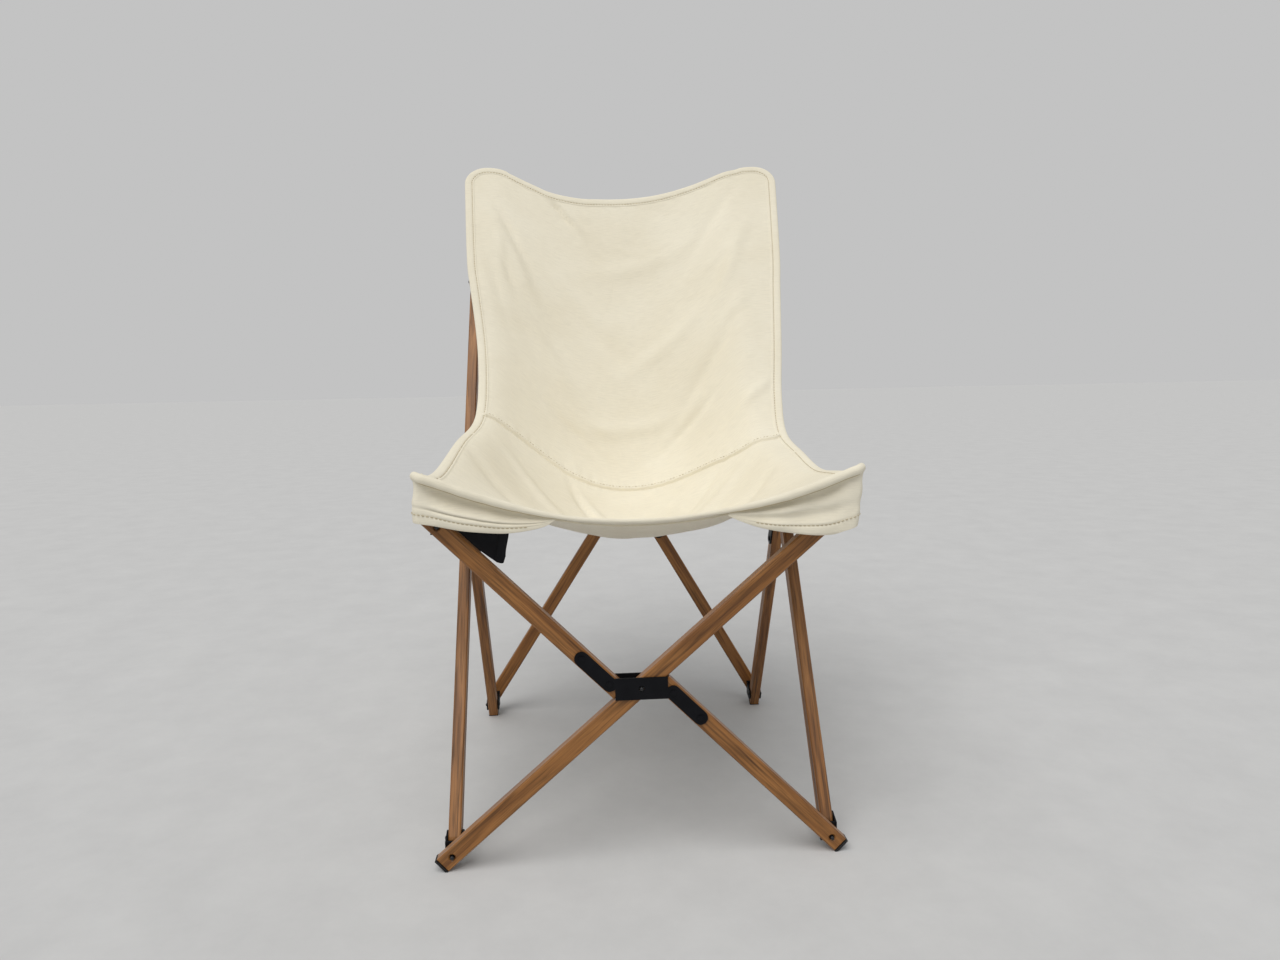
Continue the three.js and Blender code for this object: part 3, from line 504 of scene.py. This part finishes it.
def sling_grid(first, last, has_top, drop=None, thick=CLOTH):
    """Front and back layers of a panel between two shares along, with its UV lengths."""
    runs = steps(first * RUN, last * RUN - (CORNER if has_top else 0), ROW_PITCH)
    if drop is not None:
        runs = sorted(runs + [STRIP_END * RUN + g for g in STRIP_STEP])
    seam = SEAM_AT * RUN
    if has_top:
        runs += [last * RUN - b for b in reversed(BORDER[:-1])]
        away = [r for r in runs if not seam + SEAM_GAP[0] - 1 < r < seam + SEAM_GAP[-1] + 1]
        runs = sorted(away + [seam + g for g in SEAM_GAP])
    near = first * RUN + 1 if has_top else last * RUN - 1
    runs = np.array(sorted(set(runs + [near])))
    share = runs[:, None] / RUN
    ones = np.ones_like(share)
    left, right = half_width(-ones, share), half_width(ones, share)
    border = np.array(BORDER[:-1])[None]
    left_in, right_in = BORDER[-1] / left, BORDER[-1] / right
    inner = np.linspace(0, 1, COLUMNS)[None] * (2 - left_in - right_in) - 1 + left_in
    across = np.concatenate([-1 + border / left, inner, (1 - border / right)[:, ::-1]], axis=1)
    share = np.repeat(share, across.shape[1], axis=1)
    half = half_width(across, share)
    side, top = (1 - np.abs(across)) * half, (1 - share) * RUN
    gap = share * RUN - seam
    if has_top:
        side, top, border = rounded(side, top)
    else:
        border = side
    across, share = np.sign(across) * (1 - side / half), 1 - top / RUN
    v = bent_share(across, share)
    x, run = across * half, v * RUN
    points, normals = sling(across, v), sling_normal(across, v)
    height = relief(x, run, border, gap)
    bind = np.interp(border, BIND_AT, BIND_HIGH)
    if drop is not None:
        height = height - drop * (1 - smooth(share, STRIP_END - 0.0015, STRIP_END + 0.0035))
    front = points + normals * height[..., None]
    behind = 2 * bind if thick == CLOTH else 0
    depth = height - thick - behind - 0.5 * np.clip(seam_height(gap), 0, 9)
    back = points + normals * depth[..., None]
    return front, back, np.stack([x, run], axis=-1)


def place(points):
    """Millimetres from the front scissor's plane to metres in the frame."""
    return np.asarray(points, float) * MM + np.array([0, FRONT_Y, 0])


def new_object(name, verts, faces, finish, uv=None):
    mesh = bpy.data.meshes.new(name)
    mesh.from_pydata([tuple(p) for p in verts], [], faces)
    if uv is not None:
        layer = mesh.uv_layers.new(name="lengths")
        loops = np.zeros(len(mesh.loops), np.int64)
        mesh.loops.foreach_get("vertex_index", loops)
        layer.data.foreach_set("uv", (np.asarray(uv, float)[loops]).ravel())
    mesh.polygons.foreach_set("use_smooth", [True] * len(mesh.polygons))
    mesh.materials.append(finish)
    mesh.update()
    made = bpy.data.objects.new(name, mesh)
    bpy.context.scene.collection.objects.link(made)
    return made


def sheet(name, front, back, uv, finish):
    """A closed thin sheet from two layers of a grid, its rim kept crisp."""
    rows, cols = front.shape[:2]
    count = rows * cols
    index = np.arange(count).reshape(rows, cols)
    a, b, c, d = index[:-1, :-1], index[:-1, 1:], index[1:, 1:], index[1:, :-1]
    faces = np.stack([a, b, c, d], axis=-1).reshape(-1, 4)
    under = np.stack([d, c, b, a], axis=-1).reshape(-1, 4) + count
    rim = np.concatenate([index[0, :-1], index[:-1, -1], index[-1, :0:-1], index[:0:-1, 0]])
    after = np.roll(rim, -1)
    wall = np.stack([after, rim, rim + count, after + count], axis=-1)
    verts = place(np.concatenate([front.reshape(-1, 3), back.reshape(-1, 3)]))
    flat = np.concatenate([uv.reshape(-1, 2)] * 2) * MM
    made = new_object(name, verts, np.concatenate([faces, under, wall]).tolist(), finish, flat)
    on_rim = {tuple(sorted(pair)) for pair in zip(rim.tolist(), after.tolist())}
    on_rim |= {(p + count, q + count) for p, q in on_rim}
    for edge in made.data.edges:
        edge.use_edge_sharp = tuple(sorted(edge.vertices)) in on_rim
    return made


def area(front):
    """Area of a grid in square metres."""
    du, dv = np.diff(front, axis=1)[:-1], np.diff(front, axis=0)[:, :-1]
    return float(np.linalg.norm(np.cross(du, dv), axis=-1).sum()) * MM * MM


TUBE_CAP = np.array([0.995, 0.93, 0.8, 0.58, 0.3])  # shares of the radius at which an end's rings lie


def tube(path, radius_a, radius_b, side_axis, finish, name, around=16):
    """A swept oval roll with round ends; side_axis gives the oval's first axis."""
    path = np.asarray(path, float)
    tangent = np.gradient(path, axis=0)
    tangent /= np.linalg.norm(tangent, axis=1, keepdims=True)
    first = side_axis - (side_axis * tangent).sum(1, keepdims=True) * tangent
    first /= np.linalg.norm(first, axis=1, keepdims=True)
    second = np.cross(tangent, first)
    cap = TUBE_CAP
    start = path[0] - tangent[0] * radius_a[0] * cap[:, None]
    end = path[-1] + tangent[-1] * radius_a[-1] * cap[::-1, None]
    lead = np.concatenate([start, path, end])
    count = len(path)
    shrink = np.concatenate([np.sqrt(1 - cap**2), np.ones(count), np.sqrt(1 - cap[::-1] ** 2)])
    pick = np.concatenate([[0] * len(cap), np.arange(count), [count - 1] * len(cap)]).astype(int)
    angle = np.linspace(0, 2 * math.pi, around, endpoint=False)
    wide, high = ((radius[pick] * shrink)[:, None, None] for radius in (radius_a, radius_b))
    ring = np.cos(angle)[None, :, None] * first[pick][:, None] * wide
    ring = ring + np.sin(angle)[None, :, None] * second[pick][:, None] * high
    rows = len(lead)
    index = np.arange(rows * around).reshape(rows, around)
    nxt = np.roll(index, -1, axis=1)
    faces = np.stack([index[:-1], nxt[:-1], nxt[1:], index[1:]], axis=-1).reshape(-1, 4).tolist()
    faces += [index[0, ::-1].tolist(), index[-1].tolist()]
    run = np.concatenate([[0], np.cumsum(np.linalg.norm(np.diff(lead, axis=0), axis=1))])
    girth = angle * radius_a.mean()
    uv = np.stack([np.repeat(run[:, None], around, 1), np.repeat(girth[None], rows, 0)], axis=-1)
    verts = place((lead[:, None] + ring).reshape(-1, 3))
    return new_object(name, verts, faces, finish, uv.reshape(-1, 2) * MM)


THREAD_SIDES = 6
# Along a stitch: shares of its length, of its thickness, and its height over the line
STITCH_AT = np.array([0, 0.25, 0.75, 1.0])
STITCH_SIZE = np.array([0.45, 1, 1, 0.45])
STITCH_RISE = np.array([-0.1, 0.45, 0.45, -0.1])


def stitches(name, lines, length=3.4, gap=1.5, thick=0.42):
    """Thread stitches along lines of points and normals, as one mesh of small spindles."""
    verts, faces, uv = [], [], []
    sides, rings = THREAD_SIDES, len(STITCH_AT)
    for points, normals in lines:
        run = np.concatenate([[0], np.cumsum(np.linalg.norm(np.diff(points, axis=0), axis=1))])
        for start in np.arange(1, run[-1] - length, length + gap):
            at = start + STITCH_AT * length
            p = np.stack([np.interp(at, run, points[:, k]) for k in range(3)], axis=-1)
            n = np.stack([np.interp(at, run, normals[:, k]) for k in range(3)], axis=-1)
            t = p[-1] - p[0]
            t /= np.linalg.norm(t)
            sideways = np.cross(n, t)
            sideways /= np.linalg.norm(sideways, axis=1, keepdims=True)
            size = thick * STITCH_SIZE
            base = len(verts)
            for i in range(rings):
                c = p[i] + n[i] * STITCH_RISE[i]
                for k in range(sides):
                    w = 2 * math.pi * k / sides
                    verts.append(c + sideways[i] * math.cos(w) * size[i] + n[i] * math.sin(w) * size[i])
                    uv.append((at[i], w))
            for i in range(rings - 1):
                for k in range(sides):
                    a, b = base + i * sides + k, base + i * sides + (k + 1) % sides
                    faces.append((a, b, b + sides, a + sides))
            faces.append(tuple(base + k for k in reversed(range(sides))))
            faces.append(tuple(base + (rings - 1) * sides + k for k in range(sides)))
    return new_object(name, place(np.array(verts)), faces, THREAD, np.array(uv) * MM)


bodies = frame["record"]["behaviour"]["bodies"]
body_of = {part: body for body, parts in bodies.items() for part in parts}
for name in sorted(nodes):
    if "_pin" in name or "_stud" in name:
        rivet(name)

strip_front, strip_back, strip_uv = sling_grid(0.0, STRIP_END, False, thick=STRIP_THICK)
seat_front, seat_back, seat_uv = sling_grid(STRIP_START, PART_AT, False, drop=STRIP_THICK + 0.1)
strip = sheet("sling_front_strip", strip_front, strip_back, strip_uv, CANVAS)
back_front, back_back, back_uv = sling_grid(PART_AT, 1.0, True)
seat = sheet("sling_seat_cloth", seat_front, seat_back, seat_uv, CANVAS)
back = sheet("sling_back_cloth", back_front, back_back, back_uv, CANVAS)


def cloth_line(across, share, height=STITCH_LIFT):
    """Points and normals on the cloth at shares across and along."""
    v = bent_share(across, share)
    normals = sling_normal(across, v)
    return sling(across, v) + normals * np.asarray(height)[..., None], normals


def side_line(sign, first, last):
    """The binding's stitch line on one side, between two places along."""
    share = np.arange(first, last, 2.0) / RUN
    across = sign * (1 - STITCH_LINE / half_width(np.full_like(share, sign), share))
    return cloth_line(across, share)


def top_line():
    """The binding's stitch line from the left side, over the top, to the right side."""
    quarter = np.linspace(0, math.pi / 2, 24)
    bend = CORNER - STITCH_LINE
    up = np.arange(PART_AT * RUN + 3, RUN - CORNER, 2.0)
    side = np.concatenate([np.full_like(up, STITCH_LINE), CORNER - bend * np.cos(quarter)])
    run = np.concatenate([up, RUN - CORNER + bend * np.sin(quarter)])
    share = run / RUN
    left = -1 + side / half_width(-np.ones_like(share), share)
    right = 1 - side / half_width(np.ones_like(share), share)
    middle = np.linspace(left[-1], right[-1], 160)[1:-1]
    across = np.concatenate([left, middle, right[::-1]])
    share = np.concatenate([share, np.full_like(middle, share[-1]), share[::-1]])
    return cloth_line(across, share)


def seam_line(offset):
    """The seam's stitch line, at a distance along from the seam's middle."""
    across = np.linspace(-0.925, 0.935, 240)
    share = np.full_like(across, SEAM_AT + offset / RUN)
    half = half_width(across, share)
    run = bent_share(across, share) * RUN
    inside = smooth((1 - np.abs(across)) * half, *INSIDE)
    return cloth_line(across, share, seam_height(offset) + inside * wrinkles(across * half, run))


def both_sides(first, last):
    return [side_line(sign, first, last) for sign in (-1, 1)]


strip_stitches = stitches("sling_strip_stitches", both_sides(8, STRIP_END * RUN - 2))
seat_stitches = stitches("sling_seat_stitches", both_sides(STRIP_END * RUN + 3, PART_AT * RUN - 2))
back_stitches = stitches("sling_back_stitches", [top_line(), seam_line(SEAM_STITCH)])

# Front pockets: a wall under the front edge that wraps the rod's tip, with a stitched hem
WALL = 3.3  # how far the wall stands outside the sling's edge
POCKET_BACK = 45.0
TIP_ROUND = 8.0
TIP_RUN = 215, 243  # the wall comes to the tip between these places along its run
POCKET_THICK, HEM_THICK, HEM_FROM = 1.8, 2.6, 0.79
# Shares down the wall, how far each stands out on the left and right, and the hems' heights
# along the run
DOWN = [
    0, 0.05, 0.1, 0.16, 0.23, 0.3, 0.38, 0.45, 0.5, 0.55, 0.59, 0.62, 0.645, 0.67, 0.7, 0.74, 0.785,
    0.8, 0.815, 0.85, 0.9, 0.95, 0.985, 1.0,
]
HEM_STITCH = 0.8
OUT_LEFT = [
    -2.0, -5.4, -8.4, -10.2, -10.6, -9.8, -7.4, -4.6, -2.2, 0.2, 1.2, 0.6, -1.8, 0.6, 1.6, 1.9, 1.7,
    0.8, 1.5, 1.9, 1.9, 1.6, 1.2, 0.3,
]
OUT_RIGHT = [
    -2.0, -5.6, -8.6, -9.4, -8.0, -4.8, -2.0, -1.8, -3.0, -4.2, -4.3, -3.7, -2.9, -1.9, -0.8, 0.7, 1.5,
    0.6, 1.4, 1.9, 1.9, 1.6, 1.2, 0.3,
]
HEM_LEFT = [(93, 415), (104, 408.5), (143, 402), (186, 405), (235, 414), (249, 416), (320, 424)]
HEM_RIGHT = [
    (100, 414), (113, 408), (135, 400), (175, 392), (215, 389), (244, 394), (257, 398), (328, 410),
]


def front_edge(x):
    """Height of the sling's front edge at a place across."""
    tip = np.where(x < 0, LEFT.points[0, 0], RIGHT.points[0, 0])
    return sling(x / np.abs(tip), np.zeros_like(x))[..., 2]


def pocket_path(sign, hem, pitch=3.0):
    """Plan of a front pocket: places, outward directions and the run along it from the middle."""
    line = LEFT if sign < 0 else RIGHT
    outer = abs(line.points[0, 0]) + WALL
    front = FRONT_EDGE_Y - WALL
    xs = np.arange(hem[0][0], outer - TIP_ROUND, pitch)
    arc = np.linspace(0, math.pi / 2, 9)[1:]
    ys = np.arange(front + TIP_ROUND + pitch, POCKET_BACK, pitch)
    px = np.concatenate([xs, outer - TIP_ROUND + TIP_ROUND * np.sin(arc), np.full(len(ys), outer)])
    py = np.concatenate([np.full(len(xs), front), front + TIP_ROUND - TIP_ROUND * np.cos(arc), ys])
    ox = np.concatenate([np.zeros(len(xs)), np.sin(arc), np.ones(len(ys))])
    oy = np.concatenate([-np.ones(len(xs)), -np.cos(arc), np.zeros(len(ys))])
    edge = line.at(np.linspace(0, 0.3, 400))
    tip = abs(line.points[0, 0])
    along_front = front_edge(sign * np.minimum(px, tip))
    rim = np.where(py <= front + TIP_ROUND, along_front, np.interp(py, edge[:, 1], edge[:, 2]))
    run = hem[0][0] + np.concatenate([[0], np.cumsum(np.hypot(np.diff(px), np.diff(py)))])
    outward = np.stack([sign * ox, oy, np.zeros_like(ox)], -1)
    return np.stack([sign * px, py, rim], -1), outward, run


def front_pocket(sign, label, hem, folds, lean):
    """A pocket's sheet, its stitches and its flat area."""
    path, outward, run = pocket_path(sign, hem)
    low = Line([(r, z, 0) for r, z in hem])
    low = np.interp(run, low.points[:, 0], low.points[:, 1])
    down = np.array(DOWN)
    rim = path[:, 2]
    z = rim[None] + (low - rim)[None] * down[:, None]
    tall = smooth(rim - low, 2, 46)
    wave = 1.8 * np.sin(run / 21 + sign)[None] * np.sin(down * 2.6)[:, None]
    wave = wave + 1.0 * np.sin(run[None] / 9 + 5 * down[:, None])
    at_tip = smooth(run, *TIP_RUN)[None]
    hollow = np.array(folds)[:, None]
    hollow = np.where(hollow < 0, hollow * (1 - 0.75 * at_tip), hollow * (1 - 0.8 * at_tip))
    loose = (tall * smooth(run, 110, 170))[None] * smooth(down, 0.1, 0.4)[:, None]
    out = hollow * tall[None] + (1 - at_tip) * wave * loose
    points = np.stack([np.repeat(path[:, k][None], len(down), 0) for k in (0, 1)] + [z], -1)
    points += outward[None] * out[..., None]
    points[..., 0] -= sign * lean * at_tip * down[:, None] ** 1.2
    thick = np.where((down > HEM_FROM) & (down < 1.0), HEM_THICK, POCKET_THICK)[:, None, None]
    inner = points - outward[None] * thick
    uv = np.stack([np.repeat(run[None], len(down), 0), z], -1)
    upward = slice(None, None, -1)
    flip = (upward, slice(None) if sign > 0 else slice(None, None, -1))
    made = sheet(f"front_pocket_{label}_cloth", points[flip], inner[flip], uv[flip], CANVAS)
    line = points[DOWN.index(HEM_STITCH)] + outward * 0.5
    keep = slice(10, -2)
    sewn = stitches(f"front_pocket_{label}_stitches", [(line[keep], outward[keep])])
    return made, sewn, area(points)


pockets = {
    "left": front_pocket(-1, "left", HEM_LEFT, OUT_LEFT, 0.5),
    "right": front_pocket(1, "right", HEM_RIGHT, OUT_RIGHT, 8.5),
}


LIP_THIN, LIP_GAIN = 2.6, 2.9
CORD_RADIUS = 0.75


def front_lip():
    """The rolled edge along the front, thicker towards the tips, turned in at its ends."""
    x = np.arange(LEFT.points[0, 0] + 1, RIGHT.points[0, 0] - 1, 2.5)
    y = np.full_like(x, FRONT_EDGE_Y - 3.5)
    z = front_edge(x)
    path = np.stack([x, y, z], -1)
    reach = np.where(x < 0, x / LEFT.points[0, 0], x / RIGHT.points[0, 0])
    thick = LIP_THIN + LIP_GAIN * smooth(reach, 0.25, 0.8)
    thick = thick + 0.12 * np.sin(x / 6.3) + 0.1 * np.sin(x / 2.9)
    path[:, 2] += 0.6 + 0.8 * np.sin(x / 37) * smooth(reach, 0.1, 0.4)
    ends = smooth(reach, 0.955, 1.0)
    path[:, 1] += 8 * ends**2
    up = np.repeat(np.array([[0.0, 0, 1]]), len(x), 0)
    roll = tube(path, thick, thick * 0.85, up, CANVAS, "sling_front_lip")
    under = path + np.stack([0 * x, -0.35 * thick, -0.92 * thick], -1)
    fine = CORD_RADIUS * smooth(reach, 0.25, 0.5)
    keep = fine > 0.15
    sides = {"lip_cord_left": keep & (x < 0), "lip_cord_right": keep & (x > 0)}
    cords = [tube(under[k], fine[k], fine[k], up[k], THREAD, name, 8) for name, k in sides.items()]
    return roll, cords


lip, cords = front_lip()


# Top pockets behind the sling's upper corners, open below for the long rods' tips
CUP_INNER, CUP_FULL = 182.0, 202.0  # where the pocket leaves the sling, and where it is at full depth
CUP_DEPTH = 30.0
CUP_GAP = 3.4  # between the sling's front and the pocket where they lie together
ROD_CLEAR = 9.0  # from the rod's middle to just outside its face
CUP_HEM = 0.8  # share along at which the hem is stitched
HEM_ROWS = [0.78, 0.7812, 0.786, 0.792, CUP_HEM]


def top_pocket(sign, label):
    """A pocket's sheet, its stitches and its flat area."""
    line = LEFT if sign < 0 else RIGHT
    along = np.concatenate([HEM_ROWS, np.linspace(0.81, 0.992, 34)])[:, None]
    share = 1 - (1 - np.linspace(0, 1, 48)[None]) ** 1.6
    half = half_width(np.full_like(along, sign), along)
    edge_x = np.abs(line.at(along)[..., 0])
    side = (edge_x - CUP_INNER) * (1 - share)
    side, top, border = rounded(side, np.repeat((1 - along) * RUN, share.shape[1], 1))
    across, v = sign * (1 - side / half), 1 - top / RUN
    points, normals = sling(across, v), sling_normal(across, v)
    x = np.abs(points[..., 0])
    inner = smooth(x, CUP_INNER, CUP_FULL)
    room = np.clip(edge_x - SIDE - ROD_CLEAR, 3.5, 13)
    closed = smooth(border / room, 0, 1) * (1 - smooth(v, 0.95, 0.985))
    crease = 0.9 * np.sin(v * 95 + share * 5) + 0.8 * np.sin(v * 41 - share * 9)
    depth = CUP_GAP + (CUP_DEPTH + crease) * inner * closed
    depth = depth - smooth(border, *INSIDE) * wrinkles(across * half, v * RUN)
    hem = 0.8 * smooth(CUP_HEM - v, 0, 0.004)
    behind = points - normals * (depth + hem)[..., None]
    front = points - normals * (depth - CLOTH)[..., None]
    uv = np.stack([x, v * RUN], -1)
    if sign < 0:
        front, behind, uv = front[:, ::-1], behind[:, ::-1], uv[:, ::-1]
        normals = normals[:, ::-1]
    made = sheet(f"top_pocket_{label}_cloth", front, behind, uv, CANVAS)
    row = HEM_ROWS.index(CUP_HEM)
    sewn = stitches(f"top_pocket_{label}_stitches", [(behind[row, 1:-1], -normals[row, 1:-1])])
    return made, sewn, area(behind)


cups = {label: top_pocket(sign, label) for sign, label in ((-1, "left"), (1, "right"))}


# Black pouch under the seat's left front corner
POUCH_Y = 30.0
POUCH_INNER, POUCH_OUTER, POUCH_HEM = 148.7, 214.0, 160.0
POUCH_THICK = 1.4


def black_pouch():
    """The pouch's sheet and its flat area."""
    near_hem, hem_rim = [161.4, 160.6, POUCH_HEM], [149.2, POUCH_INNER]
    across = [np.linspace(POUCH_OUTER, 162, 24), near_hem, np.linspace(158.5, 149.8, 8), hem_rim]
    across = np.concatenate(across)
    down = np.concatenate([np.linspace(0, 0.94, 24), [0.965, 0.985, 1.0]])
    v = np.linspace(0, 0.3, 500)
    under = [sling(np.full_like(v, -x / 240), v) for x in across]
    top = np.array([np.interp(POUCH_Y, points[:, 1], points[:, 2]) for points in under]) - 3.2
    low = np.interp(across, [148, 154, 159, 180, POUCH_OUTER], [357.5, 357.5, 359, 372.5, 394])
    low += 7 * smooth(152.2 - across, 0, 3.5) ** 2
    z = top[None] + (low - top)[None] * down[:, None]
    hem = np.where(across < POUCH_HEM + 0.4, 1.2, 0.0)
    bulge = 3.0 * np.sin(np.linspace(0, math.pi, len(across)))[None] * np.sin(down * 2.4)[:, None]
    y = POUCH_Y - hem[None] - bulge
    slant = -5.0 * smooth(down, 0.4, 1)[:, None] * smooth(POUCH_OUTER - across, 20, 60)[None]
    x = -across[None] + slant
    front = np.stack([x, y, z], -1)[::-1]
    behind = np.stack([x, y + POUCH_THICK + 2 * hem[None], z], -1)[::-1]
    uv = np.stack([x, z], -1)[::-1]
    return sheet("black_pouch_cloth", front, behind, uv, BLACK), area(front)


pouch, pouch_area = black_pouch()

# What the cloth pieces ride on, and what they stand for
SLING_HOLD, KEEP = -SIDE - 7, 0.34
TIP_HOLD = {"left": -SIDE - 10, "right": SIDE + 10}
TIP_KEEP = 0.5
CUP_HOLD = {"left": -232, "right": 229}
CUP_KEEP = 0.44


def hang(piece, body, replaced=(), slot="canvas", at=SLING_HOLD, keep=KEEP):
    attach(piece, body)
    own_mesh(piece)
    if replaced:
        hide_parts(*replaced)


for piece in (strip, strip_stitches, lip, *cords):
    hang(piece, "left_top_bracket")
hang(pouch, "left_top_bracket", ["black_pouch"], "black_cloth")
hang(seat, "left_strut", ["sling_seat"])
hang(seat_stitches, "left_strut")
hang(back, "left_long_rod", ["sling_back"])
hang(back_stitches, "left_long_rod")
for label in ("left", "right"):
    made, sewn, size = pockets[label]
    round_tip = {"at": TIP_HOLD[label], "keep": TIP_KEEP}
    hang(made, f"{label}_top_bracket", [f"front_pocket_{label}"], **round_tip)
    hang(sewn, f"{label}_top_bracket", **round_tip)
    made, sewn, size = cups[label]
    round_tip = {"at": CUP_HOLD[label], "keep": CUP_KEEP}
    hang(made, f"{label}_long_rod", [f"top_pocket_{label}"], **round_tip)
    hang(sewn, f"{label}_long_rod", **round_tip)

# Floor, light and camera
FLOOR_HALF = 30
SUN_WAY = (0.22, 0.42, -0.88)
floor_corners = [(x * FLOOR_HALF, y * FLOOR_HALF, 0) for x, y in ((-1, -1), (1, -1), (1, 1), (-1, 1))]
floor_mesh = bpy.data.meshes.new("floor")
floor_mesh.from_pydata(floor_corners, [], [(0, 1, 2, 3)])
floor = bpy.data.objects.new("floor", floor_mesh)
bpy.context.scene.collection.objects.link(floor)
pale, tree, shader = material("pale_floor", Roughness=0.85, Specular_IOR_Level=0.15)
coords = node(tree, "TexCoord").outputs["Object"]
specks = node(tree, "TexNoise", [(coords, "Vector")], Scale=9.0, Detail=8.0, Roughness=0.7).outputs[0]
floor_colour = ramp(tree, specks, [(0.3, (0.55, 0.55, 0.55)), (0.7, (0.6, 0.6, 0.598))])
tree.links.new(floor_colour, shader.inputs["Base Color"])
floor_mesh.materials.append(pale)

world = bpy.data.worlds.new("studio")
bpy.context.scene.world = world
world.use_nodes = True
tree = world.node_tree
soft = tree.nodes["Background"]
soft.inputs["Color"].default_value = (0.97, 0.985, 1.0, 1)
soft.inputs["Strength"].default_value = 0.42
shown = node(tree, "Background", Color=(0.545, 0.545, 0.545, 1), Strength=1.0)
rays = node(tree, "LightPath")
kinds = ("Camera", "Glossy", "Transmission")
direct, glossy, through = (rays.outputs[f"Is {kind} Ray"] for kind in kinds)
seen = node(tree, "Math", [(direct, 0), (glossy, 1)], operation="MAXIMUM")
seen = node(tree, "Math", [(seen.outputs[0], 0), (through, 1)], operation="MAXIMUM")
both = node(tree, "MixShader", [(seen.outputs[0], 0), (soft.outputs[0], 1), (shown.outputs[0], 2)])
tree.links.new(both.outputs[0], tree.nodes["World Output"].inputs["Surface"])

sun = bpy.data.lights.new("key", "SUN")
sun.energy = 2.0
sun.angle = math.radians(55)
sun.color = (1.0, 0.985, 0.96)
key = bpy.data.objects.new("key", sun)
key.rotation_euler = Vector(SUN_WAY).to_track_quat("-Z", "Y").to_euler()
bpy.context.scene.collection.objects.link(key)

camera = bpy.data.objects.new("camera", bpy.data.cameras.new("camera"))
camera.data.sensor_fit = "HORIZONTAL"
camera.data.sensor_width = SENSOR
camera.data.lens = FOCAL_PX / PHOTO_WIDTH * SENSOR
right = np.array([math.cos(YAW), math.sin(YAW), 0])
ahead = np.array([-math.sin(YAW), math.cos(YAW), 0])
up = np.array([0, 0, 1.0])
look = ahead * math.cos(PITCH) - up * math.sin(PITCH)
above = ahead * math.sin(PITCH) + up * math.cos(PITCH)
rolled = right * math.cos(ROLL) + above * math.sin(ROLL)
above = -right * math.sin(ROLL) + above * math.cos(ROLL)
turn = Matrix((rolled, above, -look)).transposed()
stand = Matrix.Translation((CAMERA_AT[0], CAMERA_AT[1] + FRONT_Y, CAMERA_AT[2]))
camera.matrix_world = stand @ turn.to_4x4()
bpy.context.scene.collection.objects.link(camera)
bpy.context.scene.camera = camera
bpy.context.scene.view_settings.view_transform = "Standard"
